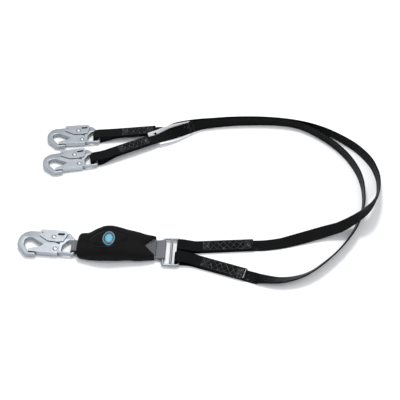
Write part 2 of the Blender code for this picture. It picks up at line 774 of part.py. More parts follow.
def build_core(frame):
    """Tear webbing folded to and fro in one continuous zigzag."""
    thick = 2 * TEAR_THICK
    start, end = CORE_START, CORE_END
    line = []
    for run in range(CORE_RUNS):
        z = CORE_FLOOR + thick / 2 + run * CORE_PITCH
        xs = (start + thick / 2, end - thick / 2)
        if run % 2:
            xs = xs[::-1]
        line += [(xs[0], z), (xs[1], z)]
    section = [(x, z) for x, z in offset_path(line, thick / 2)]
    mesh = extruded_profile([section], CORE_WIDTH)
    centre = cover_size((start + end) / 2)[2]
    add_part("tear_webbing_core", moved(mesh, (0.0, centre, 0.0)), GREY_WEB, frame)


def offset_path(line, half):
    """The outline of a square-cornered strip of even thickness along a path."""
    left, right = [], []
    for index, point in enumerate(line):
        here = Vector(point)
        before = (here - Vector(line[index - 1])).normalized() if index else None
        after = (Vector(line[index + 1]) - here).normalized() if index < len(line) - 1 else None
        ahead = after if before is None else before
        following = ahead if after is None else after
        side = Vector((-ahead.y, ahead.x)) + Vector((-following.y, following.x))
        side = side / side.length_squared * 2
        left.append(here + side * half)
        right.append(here - side * half)
    return [tuple(p) for p in left + right[::-1]]


def flare(mesh, near, far, start, run, shift):
    """Widens webbing from one width to another past the loop, and moves its middle sideways."""
    for vertex in mesh.vertices:
        share = smooth_step((vertex.co.x - start) / run)
        vertex.co.y = vertex.co.y * (1 + (far / near - 1) * share) + shift * share
    return mesh


def build_absorber(frame):
    build_cover(frame)
    panel = skin_panel(PANEL_CENTRE, PANEL_HALF, 5, 28, 0.85, panel_floor, panel_rise)
    panel = add_part("cover_panel", panel, COVER_BLACK, frame)
    cutter("cover_panel_seat", cover_skin(GAP, True), panel)
    badge = skin_panel(BADGE_CENTRE, BADGE_HALF, 3, 20, 1.0, badge_floor, lambda share: BADGE_THICK)
    add_part("cover_badge", badge, BADGE_BLUE, frame)
    build_core(frame)

    axis = HOOK_AXIS_Z
    sheet = 2 * TEAR_THICK + 0.2 * MM
    profiles = eye_profile(HOOK_LOOP_INNER, TEAR_THICK, axis, CORE_START - 1 * MM, 5 * MM, 5 * MM,
                           sheet, 24 * MM, 2 * MM)
    loop = flare(extruded_profile(profiles, HOOK_LOOP_WIDTH), HOOK_LOOP_WIDTH, HOOK_LOOP_FLARE,
                 4 * MM, 18 * MM, 3 * MM)
    add_part("tear_webbing_hook_loop", loop, GREY_WEB, frame)

    length = RING_LEFT_BAR - CORE_END - 1 * MM
    profiles = eye_profile(RING_LOOP_INNER, TEAR_THICK, RING_AXIS_Z, length, 4.5 * MM, 15 * MM,
                           sheet, 14 * MM)
    loop = extruded_profile(profiles, RING_LOOP_WIDTH)
    loop.transform(Matrix.Rotation(math.pi, 4, "Z"))
    add_part("tear_webbing_ring_loop", moved(loop, (RING_LEFT_BAR, 2.5 * MM, 0.0)), GREY_WEB, frame)


def build_ring(frame):
    """A welded wire ring with end bars for the webbing and a bar between them."""
    x0 = RING_LEFT_BAR
    x1 = RING_LEFT_BAR + 2 * RING_SPACING
    half = RING_INNER / 2 + RING_ROD
    corners = [(x0 / MM, -half / MM, 5.0), (x1 / MM, -half / MM, 5.0), (x1 / MM, half / MM, 5.0),
               (x0 / MM, half / MM, 5.0)]
    loop = [(x, y + RING_SIDE, 0.0) for x, y in rounded(corners, 30.0)]
    ring = add_part("connector_ring", tube(loop, RING_ROD, closed=True), BRIGHT, frame,
                    Matrix.Translation((0, 0, RING_AXIS_Z)))
    middle = x0 + RING_SPACING
    bar = tube([(middle, RING_SIDE - half, 0.0), (middle, RING_SIDE + half, 0.0)], RING_ROD * 0.9)
    tool = bpy.data.objects.new("ring_middle_bar", bar)
    CUTTERS.objects.link(tool)
    tool.hide_render = True
    tool.display_type = "WIRE"
    tool.parent = frame
    tool.matrix_local = Matrix.Translation((0, 0, RING_AXIS_Z))
    join = ring.modifiers.new("middle_bar", "BOOLEAN")
    join.operation = "UNION"
    join.solver = "EXACT"
    join.object = tool


clear_scene()
PARTS = new_collection(COLLECTION)
CUTTERS = new_collection("cutters")

for hook_name, spot in HOOKS.items():
    build_hook(hook_name, *spot)
pack = add_empty("absorber", (*HOOKS["hook_1"][:2], 0.0), PACK_YAW)
ring_level = add_empty("ring_level", (*HOOKS["hook_1"][:2], RING_AXIS_Z), PACK_YAW)
bpy.context.view_layer.update()
build_absorber(pack)
build_ring(pack)
build_legs(ring_level, {name: bpy.data.objects[name] for name in HOOKS})
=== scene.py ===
"""Looks of the twin-leg shock-absorbing lanyard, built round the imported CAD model.

Lengths are in metres, except that outlines' corners and the cover's stations hold millimetres. Hooks
and the absorber are each described in a frame of their own, with its origin at a webbing bar's middle.
"""

import math

import bmesh
import bpy
from mathutils import Matrix, Vector, noise


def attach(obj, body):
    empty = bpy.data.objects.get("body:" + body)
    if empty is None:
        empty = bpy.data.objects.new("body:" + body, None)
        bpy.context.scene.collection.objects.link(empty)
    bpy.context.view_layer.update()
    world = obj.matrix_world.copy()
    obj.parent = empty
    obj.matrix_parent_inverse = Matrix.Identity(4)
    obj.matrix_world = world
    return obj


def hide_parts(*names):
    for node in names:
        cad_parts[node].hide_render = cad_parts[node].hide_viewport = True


MM = 0.001

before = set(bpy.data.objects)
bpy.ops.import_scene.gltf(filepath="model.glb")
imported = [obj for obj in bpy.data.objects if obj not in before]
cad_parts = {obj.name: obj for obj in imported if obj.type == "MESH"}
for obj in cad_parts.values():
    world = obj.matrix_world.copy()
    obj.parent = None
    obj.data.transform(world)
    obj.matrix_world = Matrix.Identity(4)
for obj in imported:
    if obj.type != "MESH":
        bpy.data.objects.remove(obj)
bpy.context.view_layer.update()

# ---------------------------------------------------------------- camera

CAMERA_AT = (0.13515, -1.13059, 1.25)
CAMERA_DOWN = 48.0
CAMERA_LENS = 68.4
CAMERA_SENSOR = 36.0

camera = bpy.data.objects.new("camera", bpy.data.cameras.new("camera"))
bpy.context.scene.collection.objects.link(camera)
camera.location = CAMERA_AT
camera.rotation_euler = (math.radians(90.0 - CAMERA_DOWN), 0.0, 0.0)
camera.data.lens = CAMERA_LENS
camera.data.sensor_width = CAMERA_SENSOR
bpy.context.scene.camera = camera

# ---------------------------------------------------------------- places shared with the CAD

LEG_WIDTH = 27.5 * MM
LEG_THICK = 2.6 * MM
TEAR_THICK = 2.2 * MM
PLY_GAP = 0.2 * MM
EYE_SHEET = 3 * LEG_THICK + 0.4 * MM
# Sewn eyes of the legs: length, turn in degrees, where the turn starts, height of the sewn stretch,
# length of the loop, slack above the bar and slack beyond it
EYES = {
    "leg_a_ring": (153 * MM, 5.4, 8 * MM, 0.0, 42 * MM, 4.0 * MM, 0.0),
    "leg_b_ring": (141 * MM, -16.5, 8 * MM, 0.0, 42 * MM, 4.0 * MM, 3.0 * MM),
    "leg_a_hook": (135 * MM, -0.3, 2 * MM, 9.6 * MM, 50 * MM, 3.5 * MM, 5.0 * MM),
    "leg_b_hook": (135 * MM, 14.2, 2 * MM, 12.0 * MM, 50 * MM, 4.5 * MM, 5.0 * MM),
}
BEND_RUN = 30 * MM

HOOK_LENGTH = 124 * MM
BAR_BACK = 3.75 * MM
HOOK_LOOP_INNER = 5.1 * MM
HOOK_AXIS_Z = HOOK_LOOP_INNER + LEG_THICK
HOOKS = {
    "hook_1": (-0.12605, -0.14549, -4.0),
    "hook_2": (-0.10615, 0.19041, 6.7),
    "hook_3": (-0.10565, 0.11351, 11.9),
}
GATE_PIVOT = (81.8 * MM, -9.3 * MM)
LOCK_PIVOT = (73.8 * MM, 20.6 * MM)

PACK_YAW = -2.5
RING_ROD = 2.8 * MM
RING_SPACING = 16.5 * MM
RING_INNER = 63 * MM
RING_LEFT_BAR = 185 * MM
RING_SIDE = -1.5 * MM
RING_LOOP_INNER = RING_ROD + 0.3 * MM
RING_AXIS_Z = RING_LOOP_INNER + LEG_THICK
LEG_OFFSETS = (15 * MM, -16 * MM)

# Legs between their sewn eyes: x, y, roll in degrees, lift off the bench
LEG_A_ROUTE = [
    (0.3047, -0.1294, 0, 0.0),
    (0.3432, -0.1199, 9, 0.001),
    (0.3957, -0.1055, 8, 0.007),
    (0.4385, -0.0965, -4, 0.0195),
    (0.4784, -0.0781, -30, 0.03),
    (0.5045, -0.0449, -60, 0.0235),
    (0.5254, -0.0026, -80, 0.007),
    (0.5343, 0.0365, -84, 0.0),
    (0.5337, 0.0671, -87, 0.0),
    (0.5244, 0.1037, -88, 0.0),
    (0.4994, 0.1454, -92, 0.0),
    (0.4639, 0.1805, -98, 0.0),
    (0.4262, 0.2070, -101, 0.0),
    (0.3818, 0.2266, -103, 0.0),
    (0.3291, 0.2381, -102, 0.0),
    (0.2700, 0.2421, -98, 0.0),
    (0.2076, 0.2404, -96, 0.0),
    (0.1490, 0.2309, -84, 0.001),
    (0.0944, 0.2149, -50, 0.006),
]
LEG_B_ROUTE = [
    (0.2578, -0.2225, -12, 0.0),
    (0.2952, -0.2289, -29, 0.0),
    (0.3325, -0.2233, -44, 0.0),
    (0.3646, -0.2079, -58, 0.0),
    (0.3981, -0.1800, -64, 0.0),
    (0.4290, -0.1482, -69, 0.0),
    (0.4587, -0.1079, -72, 0.0),
    (0.4772, -0.0706, -76, 0.0),
    (0.4905, -0.0330, -84, 0.0),
    (0.4958, -0.0006, -87, 0.0),
    (0.4971, 0.0344, -88, 0.0),
    (0.4912, 0.0734, -90, 0.0),
    (0.4745, 0.1176, -94, 0.0),
    (0.4468, 0.1600, -98, 0.0),
    (0.4107, 0.1964, -101, 0.0),
    (0.3728, 0.2222, -103, 0.0),
    (0.3293, 0.2339, -102, 0.0),
    (0.2701, 0.2371, -98, 0.0),
    (0.2058, 0.2341, -95, 0.0),
    (0.1424, 0.2233, -83, 0.002),
    (0.0861, 0.1963, -46, 0.009),
]
STRAP_STARTS = (0.3 * MM, 10 * MM, 28 * MM)
REST = 0.1 * MM
TIP_ROLL = -3.0


def place(spot, z):
    """The matrix of a frame that stands at (x, y, yaw) and height z."""
    return Matrix.Translation((spot[0], spot[1], z)) @ Matrix.Rotation(math.radians(spot[2]), 4, "Z")


HOOK_FRAMES = {name: place(spot, HOOK_AXIS_Z) for name, spot in HOOKS.items()}
PACK_FRAME = place((*HOOKS["hook_1"][:2], PACK_YAW), 0.0)
RING_FRAME = place((*HOOKS["hook_1"][:2], PACK_YAW), RING_AXIS_Z)

# ---------------------------------------------------------------- material helpers


class Shader:
    """A Principled material and short calls for adding nodes to it."""

    def __init__(self, name, colour=(0.5, 0.5, 0.5), roughness=0.5, metallic=0.0, **sockets):
        self.material = bpy.data.materials.new(name)
        self.material.use_nodes = True
        self.tree = self.material.node_tree
        self.out = self.tree.nodes["Principled BSDF"]
        self.out.inputs["Base Color"].default_value = (*colour, 1.0)
        self.out.inputs["Roughness"].default_value = roughness
        self.out.inputs["Metallic"].default_value = metallic
        for key, value in sockets.items():
            self.out.inputs[key.replace("_", " ")].default_value = value

    def node(self, kind, **settings):
        made = self.tree.nodes.new("ShaderNode" + kind)
        for key, value in settings.items():
            setattr(made, key, value)
        return made

    def feed(self, socket, source):
        if isinstance(source, (int, float, tuple)):
            socket.default_value = source
        else:
            self.tree.links.new(source, socket)

    def math(self, operation, a, b=0.0, clamp=False):
        made = self.node("Math", operation=operation, use_clamp=clamp)
        self.feed(made.inputs[0], a)
        self.feed(made.inputs[1], b)
        return made.outputs[0]

    def wave(self, source, pitch, shift=0.0):
        """A sine from 0 to 1 along a coordinate in metres."""
        turn = self.math("MULTIPLY_ADD", source, 2 * math.pi / pitch)
        turn.node.inputs[2].default_value = 0.0
        if not isinstance(shift, float) or shift:
            turn = self.math("ADD", turn, shift)
        made = self.node("Math", operation="MULTIPLY_ADD")
        self.feed(made.inputs[0], self.math("SINE", turn))
        made.inputs[1].default_value = 0.5
        made.inputs[2].default_value = 0.5
        return made.outputs[0]

    def uv(self):
        """The across and along coordinates of a piece of webbing, in metres."""
        split = self.node("SeparateXYZ")
        self.feed(split.inputs[0], self.node("UVMap", uv_map="weave").outputs[0])
        return split.outputs[0], split.outputs[1]

    def noise(self, scale, detail=3.0, roughness=0.5):
        made = self.node("TexNoise")
        made.inputs["Scale"].default_value = scale
        made.inputs["Detail"].default_value = detail
        made.inputs["Roughness"].default_value = roughness
        self.feed(made.inputs["Vector"], self.node("TexCoord").outputs["Object"])
        return made.outputs[0]

    def ramp(self, source, *stops):
        """Stops are (position, colour or grey)."""
        made = self.node("ValToRGB")
        for index, (at, colour) in enumerate(stops):
            if isinstance(colour, (int, float)):
                colour = (colour, colour, colour)
            if index < 2:
                stop = made.color_ramp.elements[index]
                stop.position = at
            else:
                stop = made.color_ramp.elements.new(at)
            stop.color = (*colour, 1.0)
        self.feed(made.inputs[0], source)
        return made.outputs[0]

    def mix(self, factor, a, b):
        made = self.node("Mix", data_type="RGBA")
        self.feed(made.inputs[0], factor)
        for socket, value in ((made.inputs[6], a), (made.inputs[7], b)):
            if isinstance(value, tuple):
                value = (*value, 1.0)
            self.feed(socket, value)
        return made.outputs[2]

    def bump(self, height, distance, strength=1.0, below=None):
        made = self.node("Bump")
        made.inputs["Strength"].default_value = strength
        made.inputs["Distance"].default_value = distance
        self.feed(made.inputs["Height"], height)
        if below is not None:
            self.feed(made.inputs["Normal"], below)
        return made.outputs[0]

    def done(self, colour=None, roughness=None, normal=None):
        for key, value in (("Base Color", colour), ("Roughness", roughness), ("Normal", normal)):
            if value is not None:
                self.feed(self.out.inputs[key], value)
        return self.material


def webbing(name, dark, light, across, along, roughness, depth, sheen=0.2, specular=0.4,
            wear_and_painted_sheen=0.0):
    """Woven webbing: columns of warp that step over and under the weft, on the weave UV map, with
    lighter grey streaks in patches as painted sheen on creases.
    """
    s = Shader(name, light, roughness, Sheen_Weight=sheen, Sheen_Roughness=0.4,
               Specular_IOR_Level=specular)
    u, v = s.uv()
    column = s.math("DIVIDE", u, across)
    step = s.math("MULTIPLY", s.math("FLOOR", column), math.pi)
    warp = s.wave(u, across)
    weft = s.wave(v, along, step)
    weave = s.math("MULTIPLY", s.math("POWER", warp, 0.6), s.math("POWER", weft, 0.7))
    fibre = s.noise(900.0, 2.0)
    shade = s.noise(22.0, 4.0)
    height = s.math("ADD", weave, s.math("MULTIPLY", fibre, 0.25))
    # Painted shade: the weave's hollows darker and its crowns lighter, following the weave's height.
    colour = s.mix(s.math("MULTIPLY", weave, 0.9, True), dark, light)
    colour = s.mix(s.math("MULTIPLY", shade, 0.5), colour, dark)
    # Painted sheen: lighter grey streaks in noise patches stand for highlights on creases; the last
    # argument sets their strength.
    patch = s.ramp(s.noise(11.0, 1.0), (0.60, 0.0), (0.68, 1.0))
    crease = s.ramp(s.noise(210.0, 3.0, 0.65), (0.54, 0.0), (0.66, 1.0))
    sheen_streaks = s.math("MULTIPLY", s.math("MULTIPLY", patch, crease), wear_and_painted_sheen)
    colour = s.mix(sheen_streaks, colour, (0.16, 0.16, 0.17))
    rough = s.math("ADD", s.math("MULTIPLY", shade, 0.22), roughness - 0.1)
    return s.done(colour, rough, s.bump(height, depth, 0.8))


def steel(name, colour, roughness, grain=0.0):
    """Plated forged steel: cloudy plating, fine pitting and brighter rubbed edges."""
    s = Shader(name, colour, roughness, 1.0)
    cloud = s.noise(70.0, 5.0, 0.6)
    pits = s.noise(1400.0, 3.0, 0.6)
    wear_and_painted_sheen = s.ramp(s.node("NewGeometry").outputs["Pointiness"], (0.50, 0.0), (0.60, 1.0))
    dull = tuple(c * 0.80 for c in colour)
    bright = tuple(min(1.0, c * 1.22) for c in colour)
    base = s.mix(cloud, dull, colour)
    base = s.mix(wear_and_painted_sheen, base, bright)
    rough = s.math("ADD", s.math("MULTIPLY", cloud, 0.22), roughness - 0.08)
    rough = s.math("ADD", rough, s.math("MULTIPLY", pits, 0.08))
    return s.done(base, rough, s.bump(s.math("ADD", pits, s.math("MULTIPLY", cloud, 0.8)),
                                      0.00012 + grain, 0.35))


def cover_fabric(name):
    """Coated woven nylon: a fine plain weave under a soft, slightly uneven coating."""
    s = Shader(name, (0.008, 0.008, 0.009), 0.62, Specular_IOR_Level=0.05)
    u, v = s.uv()
    weave = s.math("MULTIPLY", s.wave(u, 0.9 * MM), s.wave(v, 0.9 * MM))
    cloud = s.noise(40.0, 5.0, 0.6)
    colour = s.mix(cloud, (0.0028, 0.0028, 0.0031), (0.0065, 0.0065, 0.0069))
    # Painted shade: the weave's crowns lighter than its hollows, following the weave's height.
    colour = s.mix(s.math("MULTIPLY", weave, 0.5), colour, (0.011, 0.011, 0.0115))
    folds = s.bump(s.noise(26.0, 3.0, 0.5), 0.0016, 0.5)
    rough = s.math("ADD", s.math("MULTIPLY", cloud, 0.2), 0.5)
    return s.done(colour, rough, s.bump(weave, 0.00018, 0.6, folds))


def moulding(name, low, high, gloss):
    """Moulded rubber or plastic with faint mottling and a very fine surface grain."""
    s = Shader(name, low, gloss)
    cloud = s.noise(160.0, 4.0)
    grain = s.noise(2600.0, 2.0)
    return s.done(s.mix(cloud, low, high), s.math("ADD", s.math("MULTIPLY", cloud, 0.15), gloss),
                  s.bump(grain, 0.00006, 0.5))


def label_film(name):
    """A blank coated label with faint creases and rubbed patches."""
    s = Shader(name, (0.86, 0.87, 0.88), 0.42)
    cloud = s.noise(35.0, 5.0)
    colour = s.mix(cloud, (0.90, 0.90, 0.91), (0.80, 0.81, 0.83))
    return s.done(colour, s.math("ADD", s.math("MULTIPLY", cloud, 0.3), 0.3),
                  s.bump(s.noise(60.0, 4.0), 0.0004, 0.4))


def thread(name, low, high):
    """Bonded sewing thread with a twisted lay."""
    s = Shader(name, low, 0.38)
    lay = s.noise(1100.0, 2.0)
    glint = s.ramp(s.noise(150.0, 2.0), (0.50, 0.0), (0.66, 1.0))
    return s.done(s.mix(glint, low, high), s.math("ADD", s.math("MULTIPLY", lay, 0.2), 0.28),
                  s.bump(lay, 0.00012, 0.7))


# The black webbing's lighter crease streaks are painted sheen.
BLACK_WEB = webbing("black_webbing", (0.0008, 0.0009, 0.0010), (0.0030, 0.0032, 0.0036), across=1.5 * MM,
                    along=2.2 * MM, roughness=0.42, depth=0.00035, sheen=0.0, specular=0.06, wear_and_painted_sheen=0.7)
GREY_WEB = webbing("grey_webbing", (0.10, 0.105, 0.115), (0.24, 0.25, 0.27), across=1.5 * MM,
                   along=2.4 * MM, roughness=0.75, depth=0.00045)
HOOK_STEEL = steel("hook_steel", (0.35, 0.375, 0.405), 0.38, 0.00006)
LEVER_STEEL = steel("lever_steel", (0.38, 0.405, 0.435), 0.34)
BRIGHT_STEEL = steel("bright_steel", (0.25, 0.265, 0.29), 0.30)
RIVET_STEEL = steel("rivet_steel", (0.52, 0.54, 0.56), 0.28)
SPRING_STEEL = steel("spring_wire", (0.36, 0.37, 0.39), 0.34)
COVER = cover_fabric("cover_fabric")
SEAM = thread("cover_seam", (0.006, 0.006, 0.006), (0.02, 0.02, 0.02))
THREAD = thread("black_thread", (0.008, 0.0085, 0.0095), (0.13, 0.135, 0.14))
DARK_THREAD = thread("tear_thread", (0.003, 0.003, 0.004), (0.012, 0.012, 0.014))
BADGE_BLUE = moulding("badge_blue", (0.055, 0.27, 0.40), (0.09, 0.34, 0.48), 0.35)
BADGE_BLACK = moulding("badge_black", (0.008, 0.010, 0.016), (0.016, 0.020, 0.030), 0.30)
LABEL = label_film("label_film")
# Flat black for plates that stand for shade: painted shade in the hooks' lock windows and slots, and a
# painted shadow round the rivets.
SHADE_BLACK = moulding("painted_shade_black", (0.004, 0.004, 0.005), (0.010, 0.010, 0.011), 0.6)

# ---------------------------------------------------------------- mesh helpers


def make(name, mesh, material, body, replaces=(), smooth=38.0):
    """A piece from a mesh in world coordinates, riding on a body."""
    mesh.name = name
    mesh.shade_smooth()
    mesh.set_sharp_from_angle(angle=math.radians(smooth))
    mesh.materials.clear()
    mesh.materials.append(material)
    piece = bpy.data.objects.new(name, mesh)
    bpy.context.scene.collection.objects.link(piece)
    bpy.context.view_layer.update()
    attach(piece, body)
    if replaces:
        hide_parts(*replaces)
    return piece


def mesh_of(shape, name="piece"):
    bmesh.ops.recalc_face_normals(shape, faces=shape.faces)
    if shape.calc_volume(signed=True) < 0:
        bmesh.ops.reverse_faces(shape, faces=shape.faces)
    mesh = bpy.data.meshes.new(name)
    shape.to_mesh(mesh)
    shape.free()
    return mesh


def curve_mesh(curve):
    source = bpy.data.objects.new("source", curve)
    bpy.context.scene.collection.objects.link(source)
    graph = bpy.context.evaluated_depsgraph_get()
    mesh = bpy.data.meshes.new_from_object(source.evaluated_get(graph))
    bpy.data.objects.remove(source)
    shape = bmesh.new()
    shape.from_mesh(mesh)
    bmesh.ops.remove_doubles(shape, verts=shape.verts, dist=1e-6)
    return mesh_of(shape)


def fill_spline(curve, points, closed):
    spline = curve.splines.new("POLY")
    spline.points.add(len(points) - 1)
    for slot, point in zip(spline.points, points):
        slot.co = (*point, 1.0) if len(point) > 2 else (*point, 0.0, 1.0)
    spline.use_cyclic_u = closed


def plate(outlines, thickness, edge=0.0, rounds=3):
    """A flat plate about its middle plane with rounded rims; later outlines are holes."""
    curve = bpy.data.curves.new("plate", "CURVE")
    curve.dimensions = "2D"
    curve.fill_mode = "BOTH"
    curve.extrude = thickness / 2 - edge
    curve.bevel_depth = edge
    curve.bevel_resolution = rounds
    curve.offset = -edge
    for outline in outlines:
        fill_spline(curve, outline, True)
    return curve_mesh(curve)


def tube(points, radius, closed=False, sides=4):
    curve = bpy.data.curves.new("tube", "CURVE")
    curve.dimensions = "3D"
    curve.bevel_depth = radius
    curve.bevel_resolution = sides
    curve.use_fill_caps = not closed
    fill_spline(curve, points, closed)
    return curve_mesh(curve)


def rounded(corners, step=9.0):
    """An outline in metres from corners in millimetres: x, y and fillet radius."""
    points = []
    for index, (x, y, radius) in enumerate(corners):
        here = Vector((x, y)) * MM
        before = (Vector(corners[index - 1][:2]) * MM - here).normalized()
        after = (Vector(corners[(index + 1) % len(corners)][:2]) * MM - here).normalized()
        half = before.angle(after) / 2
        reach = radius * MM / math.tan(half)
        centre = here + (before + after).normalized() * (radius * MM / math.sin(half))
        start = here + before * reach - centre
        turn = start.angle_signed(here + after * reach - centre)
        count = max(1, round(abs(math.degrees(turn)) / step))
        for k in range(count + 1):
            points.append(tuple(centre + Matrix.Rotation(-turn * k / count, 2) @ start))
    return points


def turned(profile, count=32):
    """A shape turned about Z from (radius, height) pairs that end on the axis or where they start."""
    shape = bmesh.new()
    line = [shape.verts.new((r, 0.0, z)) for r, z in profile]
    edges = [shape.edges.new(pair) for pair in zip(line, line[1:])]
    bmesh.ops.spin(shape, geom=line + edges, cent=(0, 0, 0), axis=(0, 0, 1),
                   angle=2 * math.pi, steps=count, use_duplicate=False)
    bmesh.ops.remove_doubles(shape, verts=shape.verts, dist=1e-6)
    return mesh_of(shape)


def joined(meshes):
    shape = bmesh.new()
    for mesh in meshes:
        shape.from_mesh(mesh)
    mesh = bpy.data.meshes.new("joined")
    shape.to_mesh(mesh)
    shape.free()
    return mesh


def smooth_step(value):
    value = min(1.0, max(0.0, value))
    return value * value * (3 - 2 * value)


def web_section(half, thick, columns):
    """A webbing's cross-section with rounded selvedges, counter-clockwise."""
    t = thick / 2
    r = t * 0.96
    points = []
    for k in range(4):
        turn = math.radians(30 * k)
        points.append((half - r + r * math.cos(turn), t - r + r * math.sin(turn)))
    for k in range(1, columns):
        points.append(((half - r) * (1 - 2 * k / columns), t))
    for k in range(7):
        turn = math.radians(90 + 30 * k)
        rise = t - r if k < 4 else r - t
        points.append((-half + r + r * math.cos(turn), rise + r * math.sin(turn)))
    for k in range(1, columns):
        points.append((-(half - r) * (1 - 2 * k / columns), -t))
    for k in range(3):
        turn = math.radians(270 + 30 * k)
        points.append((half - r + r * math.cos(turn), r - t + r * math.sin(turn)))
    return points


def sweep(frames, thick, columns=8, warp=None, capped=True):
    """Webbing along frames of (centre, left, normal, half width, distance along)."""
    shape = bmesh.new()
    weave = shape.loops.layers.uv.new("weave")
    rings = []
    spots = {}
    for centre, left, normal, half, along in frames:
        ring = []
        for u, n in web_section(half, thick, columns):
            point = centre + left * u + normal * n
            vertex = shape.verts.new(warp(point) if warp else point)
            spots[vertex] = (u, along)
            ring.append(vertex)
        rings.append(ring)
    count = len(rings[0])
    for low, high in zip(rings, rings[1:]):
        for k in range(count):
            m = (k + 1) % count
            shape.faces.new((low[k], low[m], high[m], high[k]))
    if capped:
        shape.faces.new(rings[0])
        shape.faces.new(rings[-1])
    for face in shape.faces:
        for loop in face.loops:
            loop[weave].uv = spots[loop.vert]
    return mesh_of(shape)


def path_frames(points, half_at, side=Vector((0.0, 1.0, 0.0))):
    """Frames along a path whose left side is fixed; half_at gives the half width at a point."""
    frames = []
    along = 0.0
    for index, point in enumerate(points):
        before = points[max(0, index - 1)]
        after = points[min(len(points) - 1, index + 1)]
        ahead = (after - before).normalized()
        if index:
            along += (point - points[index - 1]).length
        frames.append((point, side, ahead.cross(side), half_at(point), along))
    return frames


def catmull(points, samples):
    """Points at even spacing along a smooth curve through the given points."""
    ends = [2 * points[0] - points[1], *points, 2 * points[-1] - points[-2]]
    fine = []
    for a, b, c, d in zip(ends, ends[1:], ends[2:], ends[3:]):
        for k in range(24):
            t = k / 24
            fine.append(0.5 * (2 * b + (c - a) * t + (2 * a - 5 * b + 4 * c - d) * t * t
                               + (3 * b - a - 3 * c + d) * t ** 3))
    fine.append(points[-1])
    walked = [0.0]
    for a, b in zip(fine, fine[1:]):
        walked.append(walked[-1] + (b - a).to_3d().length)
    even = []
    at = 0
    for k in range(samples):
        want = walked[-1] * k / (samples - 1)
        while at < len(walked) - 2 and walked[at + 1] < want:
            at += 1
        share = (want - walked[at]) / (walked[at + 1] - walked[at])
        even.append(fine[at].lerp(fine[at + 1], share))
    return even


# ---------------------------------------------------------------- sewn eyes


def bend_point(x, y, angle, start):
    """Lays a straight strip along a line that turns by the angle just past its loop."""
    radius = BEND_RUN / angle
    heading = angle * min(1.0, max(0.0, (x - start) / BEND_RUN))
    centre = Vector((min(x, start), 0.0))
    centre += Vector((radius * math.sin(heading), radius * (1 - math.cos(heading))))
    past = max(0.0, x - start - BEND_RUN)
    centre += past * Vector((math.cos(heading), math.sin(heading)))
    return centre + y * Vector((-math.sin(heading), math.cos(heading)))


def loop_path(inner, thick, low, high, run, low_end, high_end, slack=0.0, reach=0.0, rise=None):
    """The middle line of webbing that comes in along the bottom, rounds a bar and goes back on top.

    Heights are from the bar's axis; low and high are the middles of the two layers past the loop.
    """
    radius = inner + thick / 2
    lift = rise or (lambda x: 0.0)
    lower, upper = [], []
    for k in range(1, 15):
        ease = smooth_step(k / 14)
        x = run * k / 14
        lower.append(Vector((x, 0.0, -radius + (low + radius) * ease + lift(x))))
        upper.append(Vector((x, 0.0, radius + slack + (high - radius - slack) * ease + lift(x))))
    for end, line, level in ((low_end, lower, low), (high_end, upper, high)):
        count = max(1, int((end - run) / (3 * MM)))
        for k in range(1, count + 1):
            x = run + (end - run) * k / count
            line.append(Vector((x, 0.0, level + lift(x))))
    bend = []
    for k in range(25):
        turn = math.radians(270 - 180 * k / 24)
        up = slack * max(0.0, math.sin(turn))
        bend.append(Vector(((radius + reach) * math.cos(turn), 0.0, radius * math.sin(turn) + up)))
    return lower[::-1] + bend + upper


def stitches(lines, pitch, gap, width, height, surface):
    """Small raised stitches along lines of (x, y); surface gives the place and normal of (x, y)."""
    shape = bmesh.new()
    for line in lines:
        for a, b in zip(line, line[1:]):
            a, b = Vector(a), Vector(b)
            count = max(1, round((b - a).length / pitch))
            for k in range(count):
                start = a.lerp(b, (k + gap / 2) / count)
                end = a.lerp(b, (k + 1 - gap / 2) / count)
                add_stitch(shape, start, end, width, height, surface)
    return mesh_of(shape)


def add_stitch(shape, start, end, width, height, surface):
    """One stitch: a low rounded bead that dives into the webbing at both ends."""
    across = Vector((start.y - end.y, end.x - start.x)).normalized() * width / 2
    rings = []
    for share, swell in ((0.0, 0.15), (0.2, 0.85), (0.5, 1.0), (0.8, 0.85), (1.0, 0.15)):
        middle = start.lerp(end, share)
        ring = []
        for turn in (0, 60, 120, 180, 270):
            side = math.cos(math.radians(turn)) * max(swell, 0.4)
            up = math.sin(math.radians(turn)) * height * swell
            ring.append(shape.verts.new(surface(middle + across * side, up)))
        rings.append(ring)
    for low, high in zip(rings, rings[1:]):
        for k in range(5):
            m = (k + 1) % 5
            shape.faces.new((low[k], low[m], high[m], high[k]))
    shape.faces.new(rings[0])
    shape.faces.new(rings[-1])


def zigzag(x0, x1, half, teeth, flip=1):
    line = []
    for k in range(teeth + 1):
        line.append((x0 + (x1 - x0) * k / teeth, half * flip * (1 if k % 2 else -1)))
    return line


SEWING_AFTER_LOOP = 8 * MM
SEWING_BEFORE_END = 5 * MM
SEWING_EDGE = 3.2 * MM
BAR_TACK_START = 2.2 * MM
BAR_TACK_PITCH = 2.4 * MM
SEALED_EYE = "leg_b_ring"


def sewn_lines(x0, x1, half):
    """A box of stitching with crossing zigzags, as on load-bearing webbing."""
    box = [(x0, -half), (x1, -half), (x1, half), (x0, half), (x0, -half)]
    lines = [box, zigzag(x0, x1, half * 0.86, 7), zigzag(x0, x1, half * 0.86, 7, -1)]
    for k in range(5):
        for x in (x0 + BAR_TACK_START + k * BAR_TACK_PITCH, x1 - BAR_TACK_START - k * BAR_TACK_PITCH):
            lines.append([(x, -half * 0.8), (x, half * 0.8)])
    return lines


